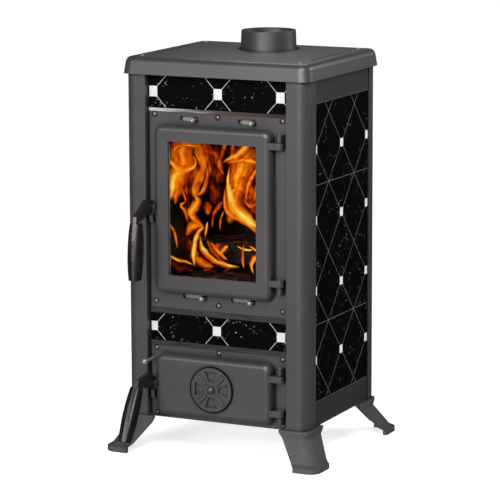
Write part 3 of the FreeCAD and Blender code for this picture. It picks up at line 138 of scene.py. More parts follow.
class StoveSizes(bpy.types.PropertyGroup):
    """Sizes of the pieces that the dressing adds."""
    inlay_wide: length("Front inlay width", 19.4, "Width of a white inlay on the front strips")
    inlay_upper: length("Upper inlay height", 23, "Height of a white inlay on the upper front strip")
    inlay_lower: length("Lower inlay height", 20.4, "Height of a white inlay on the lower front strip")
    inlay_deep: length("Side inlay depth", 15.3, "Size of a white side inlay from front to back")
    inlay_side: length("Side inlay height", 18, "Height of a white inlay on the side tiles")
    row_gap: length("Row spacing", 151.5, "Height between inlay rows on the sides")
    column_gap: length("Column spacing", 137, "Distance between inlay columns on the sides")
    front_line: length("Front line", 1.25, "Width of the front strips' inlaid lines")
    side_line: length("Side line", 0.95, "Width of the side tiles' inlaid lines and joints")
    inlay_proud: length("Inlay relief", 0.25, "How far the inlays stand proud of the glaze")
    slot_pitch: length("Slot pitch", 11, "Spacing of the side sheets' slots along a row")
    slot_rows: length("Slot rows", 3.7, "Spacing of the side sheets' rows of slots")
    sheet: length("Vent sheet", 1.2, "Thickness of the perforated side sheets")
    braid: length("Braid", 26, "Length of one full braid of the rope seals")


class StoveFire(bpy.types.PropertyGroup):
    """The wood fire."""
    glow: brightness("Flame glow", 1.15, "Brightness of the flames")
    embers: IntProperty(name="Embers", description="Lumps of charcoal on the grate", min=0, default=46)
    log: length("Log radius", 35, "Radius of the split logs")


class StoveStage(bpy.types.PropertyGroup):
    """Camera and light."""
    camera: FloatVectorProperty(name="Camera", description="Camera place", subtype="TRANSLATION",
                                default=(2.5253, -5.2491, CAD_HIGH.z + 0.5835))
    turn: angle("Turn", 25.53, "Camera turn about the vertical")
    tilt: angle("Tilt", 10.242, "Camera tilt below level")
    roll: angle("Roll", -0.185, "Camera roll")
    lens: FloatProperty(name="Lens", description="Focal length in millimetres on a 36 mm sensor",
                        default=195.34)
    key: brightness("Key light", 2.25, "Strength of the soft key light")
    key_turn: angle("Key turn", -7, "Key light's turn to the right of the front")
    key_rise: angle("Key height", 16, "Angle of the key and edge lights above the floor")
    edge: brightness("Edge light", 0.4, "Strength of the light along the right-hand edges")
    edge_turn: angle("Edge turn", 125, "Edge light's turn to the right of the front")
    top: brightness("Upper light", 50, "Power of the lamp over the front")
    side: brightness("Side light", 4, "Power of the lamp over the right-hand side")
    back: brightness("Back light", 2.3, "Power of the lamp behind the top plate")
    fill: brightness("Fill light", 0.08, "Strength of the surrounding light")
    table: brightness("Table light", 0.75, "Glow of the light table that the stove stands on")


GROUPS = {"stove_colours": StoveColours, "stove_sizes": StoveSizes, "stove_fire": StoveFire,
          "stove_stage": StoveStage}


def settings(group):
    """One group of settings of the open scene."""
    return getattr(bpy.context.scene, group)


# Materials


def node(tree, kind, sockets=None, stops=None, **properties):
    """Adds one shader node with its properties, its inputs' values or links, and a colour ramp's stops.
    An input that is given a node is linked to that node's first output."""
    made = tree.nodes.new("ShaderNode" + kind)
    for name, value in properties.items():
        setattr(made, name, value)
    for name, value in (sockets or {}).items():
        if isinstance(value, bpy.types.Node):
            value = value.outputs[0]
        if isinstance(value, bpy.types.NodeSocket):
            tree.links.new(value, made.inputs[name])
        elif made.inputs[name].type == "RGBA":
            made.inputs[name].default_value = (*value[:3], 1)
        else:
            made.inputs[name].default_value = value
    if stops:
        ramp = made.color_ramp.elements
        while len(ramp) < len(stops):
            ramp.new(0.5)
        for stop, (place, shade) in zip(ramp, stops):
            stop.position = place
            stop.color = (*(linear(shade) if isinstance(shade, str) else shade), 1)
    return made


def cleared(block):
    """Empties the node tree of a material or a world, and returns the function that adds a node to it."""
    block.use_nodes = True
    block.node_tree.nodes.clear()
    return partial(node, block.node_tree)


def finish(maker):
    """The material that a maker function lays out, made once."""
    material = bpy.data.materials.get(maker.__name__)
    if material is None:
        material = bpy.data.materials.new(maker.__name__)
        add = cleared(material)
        add("OutputMaterial", {"Surface": maker(add)})
    return material


def shades(name, spread, first=0.3, last=0.7):
    """Ramp stops from a darker to a lighter neighbour of a colour setting."""
    base = getattr(settings("stove_colours"), name)
    return [(place, tuple(part * share for part in base))
            for place, share in ((first, 1 - spread), (last, 1 + spread))]


def mottled(add, size, detail, stops, look, relief=None, cloud=None, stretch=None):
    """A shader whose colour wanders between tones in patches so many mm across. Relief is the strength and
    the depth in mm of the same patches as bumps, cloud the size, detail and share of a broader pattern that
    is mixed in, and stretch the scale of the patches along each axis."""
    here = add("TexCoord").outputs["Object"]
    place = add("Mapping", {"Vector": here, "Scale": stretch}) if stretch else here
    patches = add("TexNoise", {"Vector": place, "Scale": pitch(size), "Detail": detail})
    level = patches
    if cloud:
        broad = add("TexNoise", {"Vector": here, "Scale": pitch(cloud[0]), "Detail": cloud[1]})
        level = add("Mix", {0: cloud[2], 2: patches, 3: broad})
    look = {"Base Color": add("ValToRGB", {"Fac": level}, stops=stops), **look}
    if relief:
        look["Normal"] = add("Bump", {"Strength": relief[0], "Distance": relief[1] * MM, "Height": patches})
    return add("BsdfPrincipled", look)


def sooted(add, tone, reach, least, closed, clear):
    """A colour with shade painted into its nooks: walls count so many mm away, and openness runs from closed
    to clear.
    """
    nook = add("AmbientOcclusion", {"Distance": reach * MM}, samples=8)
    unshaded = add("MapRange", {"Value": nook.outputs["AO"], "From Min": closed, "From Max": clear,
                             "To Min": least, "To Max": 1.0})
    return add("VectorMath", {0: tone, 1: unshaded}, operation="MULTIPLY")


def sprayed_heat_paint(add):
    """Silicone heat paint sprayed on cast iron: satin, finely pebbled, a little cloudy, with shade painted
    darker in nooks.
    """
    here = add("TexCoord").outputs["Object"]
    # Real pebbles are finer than 1 mm, and are drawn this coarse to show
    grain = add("TexNoise", {"Vector": here, "Scale": pitch(2.2), "Detail": 5.0, "Roughness": 0.7})
    cloud = add("TexNoise", {"Vector": here, "Scale": pitch(120), "Detail": 2.0})
    blend = add("Mix", {0: 0.4, 2: grain, 3: cloud})
    tone = add("ValToRGB", {"Fac": blend}, stops=shades("paint", 0.16, 0.38, 0.62))
    # Painted shade: the colour is darkened where ambient occlusion finds nooks
    dark = sooted(add, tone, 12, 0.12, 0.42, 0.92)
    edge = add("Bevel", {"Radius": 1.2 * MM}, samples=4)
    relief = add("Bump", {"Strength": 0.35, "Distance": 0.25 * MM, "Height": grain, "Normal": edge})
    return add("BsdfPrincipled", {"Base Color": dark, "Roughness": 0.43, "IOR": 1.6, "Normal": relief})


def rough_cast_iron(add):
    """Sand-cast iron under a thin coat of paint: grey, rough, with lumps left by the sand."""
    here = add("TexCoord").outputs["Object"]
    # Moulding sand is finer than 1 mm, and is drawn this coarse to show
    sand = add("TexNoise", {"Vector": here, "Scale": pitch(3.2), "Detail": 6.0, "Roughness": 0.75})
    lumps = add("TexNoise", {"Vector": here, "Scale": pitch(18), "Detail": 2.0})
    height = add("Math", {0: lumps, 1: sand}, operation="ADD")
    tone = add("ValToRGB", {"Fac": sand}, stops=shades("leg", 0.3, 0.35, 0.66))
    edge = add("Bevel", {"Radius": 2.0 * MM}, samples=4)
    relief = add("Bump", {"Strength": 0.7, "Distance": 0.7 * MM, "Height": height, "Normal": edge})
    return add("BsdfPrincipled", {"Base Color": tone, "Roughness": 0.62, "IOR": 1.5, "Normal": relief})


def blackened_sheet(add):
    """Rolled steel sheet, blackened: satin, with long faint rolling marks."""
    return mottled(add, 9, 4.0, shades("sheet", 0.3), {"Roughness": 0.55}, relief=(0.12, 0.2),
                   stretch=(1, 1, 0.08))


def marbled_black_tile(add):
    """Honed black porcelain printed like marble: matt, nearly black, with broken pale flecks."""
    here = add("TexCoord").outputs["Object"]
    colours = settings("stove_colours")
    drift = add("TexNoise", {"Vector": here, "Scale": pitch(45), "Detail": 3.0})
    bent = add("VectorMath", {0: drift.outputs["Color"], 1: (0.05, 0.05, 0.05)}, operation="MULTIPLY")
    place = add("VectorMath", {0: here, 1: bent}, operation="ADD")
    cells = add("TexVoronoi", {"Vector": place, "Scale": pitch(55)}, feature="DISTANCE_TO_EDGE")
    vein = add("MapRange", {"Value": cells, "From Min": 0.0, "From Max": 0.008, "To Min": 1.0, "To Max": 0.0})
    breaks = add("TexNoise", {"Vector": here, "Scale": pitch(5), "Detail": 2.0})
    broken = add("MapRange", {"Value": breaks, "From Min": 0.53, "From Max": 0.63})
    patches = add("MapRange", {"Value": drift, "From Min": 0.43, "From Max": 0.6, "To Max": 0.6})
    dots = add("TexVoronoi", {"Vector": here, "Scale": pitch(13)})
    fleck = add("MapRange", {"Value": dots, "From Min": 0.05, "From Max": 0.15, "To Min": 1.0, "To Max": 0.0})
    line = add("Math", {0: vein, 1: broken}, operation="MULTIPLY")
    sparse = add("Math", {0: fleck, 1: broken}, operation="MULTIPLY")
    both = add("Math", {0: line, 1: sparse}, operation="MAXIMUM")
    mask = add("Math", {0: both, 1: patches}, operation="MULTIPLY")
    tone = add("Mix", {0: mask, 6: colours.tile, 7: colours.vein}, data_type="RGBA")
    edge = add("Bevel", {"Radius": 0.6 * MM}, samples=4)
    return add("BsdfPrincipled", {"Base Color": tone.outputs[2], "Roughness": 0.4,
                                  "Specular IOR Level": 0.015, "Normal": edge})


def white_porcelain(add):
    """Small glazed white tiles on the sides: bright, smooth, faintly mottled."""
    return mottled(add, 8, 3.0, shades("inlay", 0.05), {"Roughness": 0.25})


def smoked_porcelain(add):
    """The same small white tiles beside the doors, where smoke has dulled them."""
    return mottled(add, 8, 3.0, shades("front_inlay", 0.05), {"Roughness": 0.25})


def pale_joint(add):
    """Polished grout line on the front strips: pale grey, with its sand drawn 5 mm coarse to show."""
    return mottled(add, 5, 3.0, shades("pale_joint", 0.25), {"Roughness": 0.6})


def grey_joint(add):
    """Polished grout line on the sides: dark grey, with its sand drawn 5 mm coarse to show."""
    return mottled(add, 5, 3.0, shades("grey_joint", 0.25), {"Roughness": 0.6})


def brushed_trim(add):
    """Steel strip brushed lengthwise: the upper one pale at the left and dark brown at the right, those below
    blackened.
    """
    # Metres from the middle to a trim's ends, and a height that only the upper trim lies above
    half_run, upper_only = 0.164, 0.5
    here = add("TexCoord").outputs["Object"]
    stretch = add("Mapping", {"Vector": here, "Scale": (0.02, 1, 1)})
    # Real brush lines are some tenths of a millimetre apart, and are drawn this coarse to show
    brush = add("TexNoise", {"Vector": stretch, "Scale": pitch(1.1), "Detail": 4.0})
    axes = add("SeparateXYZ", {0: here})
    run = add("MapRange", {"Value": axes.outputs["X"], "From Min": -half_run, "From Max": half_run})
    uneven = add("Math", {0: brush, 1: 0.5}, operation="SUBTRACT")
    heat = add("Math", {0: run, 1: uneven}, operation="ADD")
    pale_to_brown = add("ValToRGB", {"Fac": heat}, stops=[(0.05, "#cdc6c2"), (0.32, "#857a74"),
                                                   (0.52, "#54443f"), (1.0, "#392c29")])
    black = add("ValToRGB", {"Fac": brush}, stops=[(0.3, "#2a2a2b"), (0.7, "#4a4a4a")])
    upper = add("Math", {0: axes.outputs["Z"], 1: upper_only}, operation="GREATER_THAN")
    tone = add("Mix", {0: upper, 6: black, 7: pale_to_brown}, data_type="RGBA")
    rough = add("MapRange", {"Value": brush, "To Min": 0.28, "To Max": 0.5})
    return add("BsdfPrincipled", {"Base Color": tone.outputs[2], "Metallic": 0.75, "Roughness": rough})


def zinc_plated_steel(add):
    """Turned steel with dull zinc plating: grey, satin, with faint handling marks, and shade painted dark in
    nooks.
    """
    here = add("TexCoord").outputs["Object"]
    marks = add("TexNoise", {"Vector": here, "Scale": pitch(4), "Detail": 4.0})
    rough = add("MapRange", {"Value": marks, "To Min": 0.22, "To Max": 0.4})
    # Painted shade: the grey is darkened where ambient occlusion finds nooks
    dark = sooted(add, settings("stove_colours").steel, 8, 0.05, 0.42, 0.75)
    return add("BsdfPrincipled", {"Base Color": dark, "Metallic": 0.45, "Roughness": rough})


def blackened_screw(add):
    """Oil-blackened steel screw heads: dark brown-grey, with a small highlight and worn patches."""
    return mottled(add, 5, 3.0, [(0.35, "#474341"), (0.65, "#827d79")], {"Metallic": 0.5, "Roughness": 0.3})


def sooted_firebrick(add):
    """Pressed chamotte brick: buff and pitted, darkened by soot in clouds."""
    return mottled(add, 4, 6.0, [(0.4, "#0b0908"), (0.52, "#1a1410"), (0.68, "#4a3a2b")],
                   {"Roughness": 0.95, "Specular IOR Level": 0.2}, relief=(0.6, 0.8), cloud=(110, 4.0, 0.6))


def raw_grate_iron(add):
    """Unpainted cast iron from the fire: dark, scaled, with a rust bloom."""
    return mottled(add, 6, 6.0, [(0.3, "#1b1817"), (0.55, "#342c28"), (0.75, "#55382a")],
                   {"Metallic": 0.4, "Roughness": 0.75}, relief=(0.6, 0.5))


def galvanised_pan(add):
    """Hot-dipped sheet: dull grey with a crystal spangle, dusted with ash."""
    here = add("TexCoord").outputs["Object"]
    spangle = add("TexVoronoi", {"Vector": here, "Scale": pitch(14)})
    ash = add("TexNoise", {"Vector": here, "Scale": pitch(40), "Detail": 4.0})
    level = add("Mix", {0: 0.5, 2: spangle, 3: ash})
    tone = add("ValToRGB", {"Fac": level}, stops=[(0.25, "#4e4e4f"), (0.6, "#8d8c8a")])
    return add("BsdfPrincipled", {"Base Color": tone, "Metallic": 0.8, "Roughness": 0.5})


def ceramic_glass(add):
    """Clear glass-ceramic pane: nearly colourless, with a sharp sheen at low angles and a film of soot."""
    here = add("TexCoord").outputs["Object"]
    film = add("TexNoise", {"Vector": here, "Scale": pitch(90), "Detail": 4.0})
    tint = add("ValToRGB", {"Fac": film}, stops=[(0.3, "#efe9e0"), (0.8, "#ffffff")])
    clear = add("BsdfTransparent", {"Color": tint})
    sheen = add("BsdfGlossy", {"Color": (1, 1, 1), "Roughness": 0.03})
    facing = add("Fresnel", {"IOR": 1.08})
    return add("MixShader", {0: facing, 1: clear, 2: sheen})


def braided_glass_rope(add):
    """Braided glass-fibre rope: dull off-white turned grey, with fine fibres."""
    # Glass fibres are far finer, and are drawn this coarse to show
    return mottled(add, 1.2, 4.0, [(0.38, "#4a4744"), (0.6, "#a8a49d")],
                   {"Roughness": 0.9, "Sheen Weight": 0.2}, relief=(0.5, 0.3), cloud=(60, 3.0, 0.5))


def moulded_phenolic(add):
    """Moulded black phenolic, worn dull: deep black with a soft highlight and slight moulding waves."""
    return mottled(add, 25, 2.0, shades("grip", 0.3), {"Roughness": 0.36, "IOR": 1.5}, relief=(0.05, 0.5))


def worn_black_lever(add):
    """Cast lever, stove-blacked: satin black, with its forward-facing faces worn to grey metal and painted
    lighter as a highlight of the light from the front.
    """
    where = add("TexCoord")
    # Casting grain is finer than 1 mm, and is drawn this coarse to show
    grain = add("TexNoise", {"Vector": where.outputs["Object"], "Scale": pitch(2.5), "Detail": 4.0})
    black = add("ValToRGB", {"Fac": grain}, stops=[(0.3, "#121011"), (0.7, "#1f1c1d")])
    bare_and_highlit = add("ValToRGB", {"Fac": grain}, stops=[(0.3, "#5a5556"), (0.7, "#787374")])
    # Faces turned to the front get grey metal: partly wear, partly a painted highlight of the front light
    outward = add("VectorMath", {0: where.outputs["Normal"], 1: FRONT}, operation="DOT_PRODUCT")
    worn_and_lit_faces = add("MapRange", {"Value": outward.outputs["Value"], "From Min": 0.72, "From Max": 0.84})
    tone = add("Mix", {0: worn_and_lit_faces, 6: black, 7: bare_and_highlit}, data_type="RGBA")
    relief = add("Bump", {"Strength": 0.2, "Distance": 0.2 * MM, "Height": grain})
    return add("BsdfPrincipled", {"Base Color": tone.outputs[2], "Metallic": worn_and_lit_faces, "Roughness": 0.4,
                                  "Normal": relief})


def settled_soot(add):
    """Painted shadow for narrow gaps: dead black without a shine, a little greyer in patches."""
    return mottled(add, 6, 3.0, [(0.3, "#060505"), (0.7, "#161414")],
                   {"Roughness": 1.0, "Specular IOR Level": 0.05})


def charred_wood(add):
    """Burning split logs: black char in blocks, grey ash on top, and red heat in the cracks."""
    here = add("TexCoord").outputs["Object"]
    along = add("Mapping", {"Vector": here, "Scale": (0.35, 1, 1)})
    blocks = add("TexVoronoi", {"Vector": along, "Scale": pitch(17)}, feature="DISTANCE_TO_EDGE")
    fine = add("TexNoise", {"Vector": along, "Scale": pitch(7), "Detail": 5.0})
    tone = add("ValToRGB", {"Fac": fine}, stops=[(0.4, "#0c0908"), (0.6, "#1e1613"), (0.8, "#544b45")])
    crack = add("MapRange", {"Value": blocks, "From Min": 0.0, "From Max": 0.1, "To Min": 1.0, "To Max": 0.0})
    zone = add("TexNoise", {"Vector": here, "Scale": pitch(55), "Detail": 2.0})
    hot = add("MapRange", {"Value": zone, "From Min": 0.48, "From Max": 0.66})
    glow = add("Math", {0: crack, 1: hot}, operation="MULTIPLY")
    heat = add("ValToRGB", {"Fac": glow}, stops=[(0.0, "#000000"), (0.4, "#5a1003"), (1.0, "#e0500a")])
    relief = add("Bump", {"Strength": 0.8, "Distance": 1.5 * MM, "Height": blocks})
    return add("BsdfPrincipled", {"Base Color": tone, "Roughness": 0.95, "Specular IOR Level": 0.15,
                                  "Emission Color": heat, "Emission Strength": 0.9, "Normal": relief})


def glowing_charcoal(add):
    """Embers: orange heat under a broken crust of grey ash and black coal."""
    here = add("TexCoord").outputs["Object"]
    crust = add("TexNoise", {"Vector": here, "Scale": pitch(14), "Detail": 5.0})
    heat = add("ValToRGB", {"Fac": crust}, stops=[(0.36, "#f06a10"), (0.48, "#8a1d04"), (0.58, "#000000")])
    tone = add("ValToRGB", {"Fac": crust}, stops=[(0.4, "#15100e"), (0.7, "#6d6762")])
    return add("BsdfPrincipled", {"Base Color": tone, "Roughness": 0.95, "Specular IOR Level": 0.1,
                                  "Emission Color": heat, "Emission Strength": 1.4})


def wood_flame(add):
    """Flame: glowing soot, pale yellow where it is hottest, then orange and red, with flowing streaks."""
    warmth = add("Attribute", attribute_name="warmth").outputs["Fac"]
    cover = add("Attribute", attribute_name="veil").outputs["Fac"]
    flow = add("Attribute", attribute_name="flow").outputs["Vector"]
    drawn = add("Mapping", {"Vector": flow, "Scale": (1, 0.12, 1)})
    streak = add("TexNoise", {"Vector": drawn, "Scale": pitch(9), "Detail": 3.0, "Distortion": 0.6})
    billow = add("TexNoise", {"Vector": flow, "Scale": pitch(34), "Detail": 2.0, "Distortion": 1.2})
    both = add("Mix", {0: 0.5, 2: streak, 3: billow})
    swing = add("MapRange", {"Value": both, "From Min": 0.35, "From Max": 0.65, "To Min": -0.24,
                             "To Max": 0.2})
    level = add("Math", {0: warmth, 1: swing}, operation="ADD")
    heat = add("ValToRGB", {"Fac": level},
               stops=[(0.0, "#1c0400"), (0.15, "#6a1802"), (0.32, "#c44a05"), (0.5, "#ee7a0c"),
                      (0.68, "#fab02a"), (0.86, "#fae56a")])
    return add("BsdfPrincipled", {"Base Color": (0, 0, 0), "Roughness": 1.0, "Specular IOR Level": 0.0,
                                  "Emission Color": heat, "Alpha": cover,
                                  "Emission Strength": settings("stove_fire").glow})


def white_light_table(add):
    """Matt white acrylic, lit evenly from below like a studio's light table, with a faint cast texture."""
    return mottled(add, 40, 2.0, [(0.3, "#f0f0f0"), (0.7, "#f4f4f4")],
                   {"Roughness": 0.9, "Specular IOR Level": 0.1, "Emission Color": (1, 1, 1),
                    "Emission Strength": settings("stove_stage").table})


# Mesh helpers


def coat(maker, *names):
    """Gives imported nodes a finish."""
    for name in names:
        for place in NODES[name].material_slots:
            place.material = finish(maker)


def put(name, data):
    """A new object for a mesh, a light or a camera, linked into the scene."""
    thing = bpy.data.objects.new(name, data)
    bpy.context.scene.collection.objects.link(thing)
    return thing


def meshed(name, shape, maker):
    """A new object from a bmesh, with its finish."""
    mesh = bpy.data.meshes.new(name)
    shape.to_mesh(mesh)
    shape.free()
    mesh.materials.append(finish(maker))
    return put(name, mesh)


def made_piece(name, shape, maker, body, stands_for=(), smooth=True):
    """Turns a bmesh into a piece that rides a body, with its finish and the nodes it stands for."""
    bmesh.ops.recalc_face_normals(shape, faces=shape.faces)
    piece = meshed(name, shape, maker)
    piece.data.polygons.foreach_set("use_smooth", [smooth] * len(piece.data.polygons))
    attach(piece, body)
    if stands_for:
        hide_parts(*stands_for)


def loft(shape, rings, loop=False):
    """Skins rings of points into a closed tube, with flat ends unless its ends meet. Returns the rows."""
    rows = [[shape.verts.new(point) for point in ring] for ring in rings]
    pairs = zip(rows, rows[1:] + rows[:1]) if loop else zip(rows, rows[1:])
    for low, high in pairs:
        for step in range(len(low)):
            after = (step + 1) % len(low)
            shape.faces.new((low[step], low[after], high[after], high[step]))
    if not loop:
        shape.faces.new(rows[0])
        shape.faces.new(rows[-1])
    return rows


def prism(shape, corners, place, low, high):
    """A closed prism over a flat outline, from one depth to another."""
    rows = [[shape.verts.new(place(a, b, depth)) for a, b in corners] for depth in (low, high)]
    for row in rows:
        shape.faces.new(row)
    for step in range(len(corners)):
        after = (step + 1) % len(corners)
        shape.faces.new((rows[0][step], rows[0][after], rows[1][after], rows[1][step]))


def slab(shape, first, last, place, low, high):
    """A closed prism over the rectangle between two corners."""
    corners = [first, (last[0], first[1]), last, (first[0], last[1])]
    prism(shape, corners, place, low, high)


def clipped(start, end, low, high):
    """The stretch of a line inside a box on a plane, or None."""
    first, last = 0.0, 1.0
    for axis in (0, 1):
        run = end[axis] - start[axis]
        if abs(run) < 1e-9:
            if not low[axis] <= start[axis] <= high[axis]:
                return None
            continue
        near, far = sorted(((low[axis] - start[axis]) / run, (high[axis] - start[axis]) / run))
        first, last = max(first, near), min(last, far)
    if first >= last:
        return None
    return [tuple(start[axis] + (end[axis] - start[axis]) * share for axis in (0, 1))
            for share in (first, last)]


def stripe(shape, start, end, edges, width, place, low, high):
    """A thin inlaid line between two points of a plane, cut off at the edges of a box."""
    ends = clipped(start, end, *edges)
    if not ends:
        return
    (a0, b0), (a1, b1) = ends
    run = math.hypot(a1 - a0, b1 - b0)
    side = ((b0 - b1) / run * width / 2, (a1 - a0) / run * width / 2)
    corners = [(a0 + side[0], b0 + side[1]), (a0 - side[0], b0 - side[1]),
               (a1 - side[0], b1 - side[1]), (a1 + side[0], b1 + side[1])]
    prism(shape, corners, place, low, high)


def smooth_line(points, steps):
    """Points on a Catmull-Rom line through the given points, with evenly many steps in each stretch."""
    points = [Vector(point) for point in points]
    ends = [2 * points[0] - points[1], *points, 2 * points[-1] - points[-2]]
    line = []
    for before, start, end, after in zip(ends, ends[1:], ends[2:], ends[3:]):
        for step in range(steps):
            t = step / steps
            line.append(0.5 * (2 * start + (end - before) * t
                               + (2 * before - 5 * start + 4 * end - after) * t * t
                               + (3 * start - before - 3 * end + after) * t * t * t))
    return line + [points[-1]]


def loop_path(low, high, inset, corner, step):
    """Points and outward directions round a rectangle with round corners, standing in the XZ plane."""
    left, right, bottom, top = low.x + inset, high.x - inset, low.z + inset, high.z - inset
    depth = (low.y + high.y) / 2
    points, outward = [], []
    turns = ((right - corner, bottom + corner, -90), (right - corner, top - corner, 0),
             (left + corner, top - corner, 90), (left + corner, bottom + corner, 180))
    for index, (x, z, start) in enumerate(turns):
        count = max(4, round(corner * math.pi / 2 / step))
        for part in range(count + 1):
            turn = math.radians(start + 90 * part / count)
            out = Vector((math.cos(turn), 0, math.sin(turn)))
            points.append(Vector((x, depth, z)) + out * corner)
            outward.append(out)
        ahead = turns[(index + 1) % len(turns)]
        here, there = points[-1], Vector((ahead[0], depth, ahead[1])) + out * corner
        count = round((there - here).length / step)
        for part in range(1, count):
            points.append(here.lerp(there, part / count))
            outward.append(out)
    return points, outward


# Pieces

SUNK = 1 * MM       # how deep in its tile an inlay or a line starts
MARGIN = 1 * MM     # bare edge of a tile that inlays and lines keep clear of

# Relief of rising, falling and level lines as shares of the inlays', so that crossing lines don't flicker
RISING, FALLING, LEVEL = 0.6, 0.5, 0.4

# Each front strip: where its inlays stand as a share of its height, their size setting, their centres in mm
FRONT_STRIPS = (("upper", 0.435, "inlay_upper", (-153.9, 0.0, 146.5)),
                ("lower", 0.505, "inlay_lower", (-157.6, -4.9, 147.2)))


class STOVE_OT_castings(bpy.types.Operator):
    """Paints the castings and bent sheets, the rough legs and the inner sheets"""
    bl_idname = "stove.castings"
    bl_label = "Castings and Sheets"

    def execute(self, context):
        coat(sprayed_heat_paint, "post_front_left", "post_front_right", "post_rear_left", "post_rear_right",
             "top_plate", "flue_collar", "fire_plate", "ash_plate", "fire_door", "ash_door", "latch_keepers",
             "air_spinner", "side_rails", "side_grilles", "spinner_bolt", "fire_handle_pivot",
             "ash_handle_pivot", "rear_panel")
        coat(rough_cast_iron, "leg_front_left", "leg_front_right", "leg_rear_left", "leg_rear_right")
        coat(blackened_sheet, "base_plate", "side_backings", "shell_front", "shell_left",
             "shell_right", "shell_back", "shell_roof", "ash_shelf", "grate_ledges")
        return {"FINISHED"}


class STOVE_OT_tiles(bpy.types.Operator):
    """Glazes the tiles and lays their white inlays and joint lines"""
    bl_idname = "stove.tiles"
    bl_label = "Tiles"

    def execute(self, context):
        coat(marbled_black_tile, "side_tiles_left", "side_tiles_right", "front_tile_upper",
             "front_tile_lower")
        for strip in FRONT_STRIPS:
            self.front_strip(*strip)
        for name, side in (("left", -1), ("right", 1)):
            self.side_panel(name, side)
        return {"FINISHED"}

    def front_strip(self, name, share, tall, centres):
        """White inlays along a front strip, with lines from their corners to the strip's edges."""
        sizes = settings("stove_sizes")
        low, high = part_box(f"front_tile_{name}")
        middle = low.z + (high.z - low.z) * share
        inlays, lines = bmesh.new(), bmesh.new()

        def place(a, b, depth):
            return Vector((a, low.y - depth, b))

        corner = (low.x + MARGIN, low.z + MARGIN), (high.x - MARGIN, high.z - MARGIN)
        half = Vector((sizes.inlay_wide / 2, getattr(sizes, tall) / 2))
        slope = sizes.row_gap / sizes.column_gap
        for centre in (across * MM for across in centres):
            left, right = max(centre - half.x, corner[0][0]), min(centre + half.x, corner[1][0])
            slab(inlays, (left, middle - half.y), (right, middle + half.y), place, -SUNK, sizes.inlay_proud)
            for across in (-1, 1):
                for rise in (-1, 1):
                    start = (centre + across * half.x, middle + rise * half.y)
                    end = (start[0] + across * sizes.column_gap, start[1] + rise * sizes.column_gap * slope)
                    stripe(lines, start, end, corner, sizes.front_line, place, -SUNK,
                           sizes.inlay_proud * RISING)
        made_piece(f"front_inlays_{name}", inlays, smoked_porcelain, "stove", smooth=False)
        made_piece(f"front_lines_{name}", lines, pale_joint, "stove", smooth=False)

    def side_panel(self, name, side):
        """Rows of white inlays on a side, with lines between diagonal neighbours and along the joints."""
        sizes = settings("stove_sizes")
        low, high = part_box(f"side_tiles_{name}")
        face = max(abs(low.x), abs(high.x))
        corner = (low.y + MARGIN, low.z + MARGIN), (high.y - MARGIN, high.z - MARGIN)
        half = Vector((sizes.inlay_deep / 2, sizes.inlay_side / 2))
        columns = [(low.y + high.y) / 2 + step * sizes.column_gap for step in (-1, 0, 1)]
        joints = self.tile_joints(NODES[f"side_tiles_{name}"], low.z, high.z)
        rows = [joints[1] + (step + 0.5) * sizes.row_gap for step in range(-4, 2)]
        inlays, lines = bmesh.new(), bmesh.new()

        def place(a, b, depth):
            return Vector((side * (face + depth), a, b))

        for row in rows[1:-1]:
            for column in columns:
                front, back = max(column - half.x, corner[0][0]), min(column + half.x, corner[1][0])
                slab(inlays, (front, row - half.y), (back, row + half.y), place, -SUNK, sizes.inlay_proud)
        for row, above in zip(rows, rows[1:]):
            for column, behind in zip(columns, columns[1:]):
                near, far = column + half.x, behind - half.x
                bottom, top = row + half.y, above - half.y
                for start, end, relief in (((near, bottom), (far, top), RISING),
                                           ((far, bottom), (near, top), FALLING)):
                    stripe(lines, start, end, corner, sizes.side_line, place, -SUNK,
                           sizes.inlay_proud * relief)
        for joint in joints:
            stripe(lines, (corner[0][0], joint), (corner[1][0], joint), corner, sizes.side_line, place, -SUNK,
                   sizes.inlay_proud * LEVEL)
        made_piece(f"side_inlays_{name}", inlays, white_porcelain, "stove", smooth=False)
        made_piece(f"side_lines_{name}", lines, grey_joint, "stove", smooth=False)

    def tile_joints(self, tiles, low, high):
        """Heights where one tile of a stack ends and the next begins, lowest first."""
        heights = sorted({round(vertex.co.z, 4) for vertex in tiles.data.vertices})
        return [height for height in heights if low + MARGIN < height < high - MARGIN]


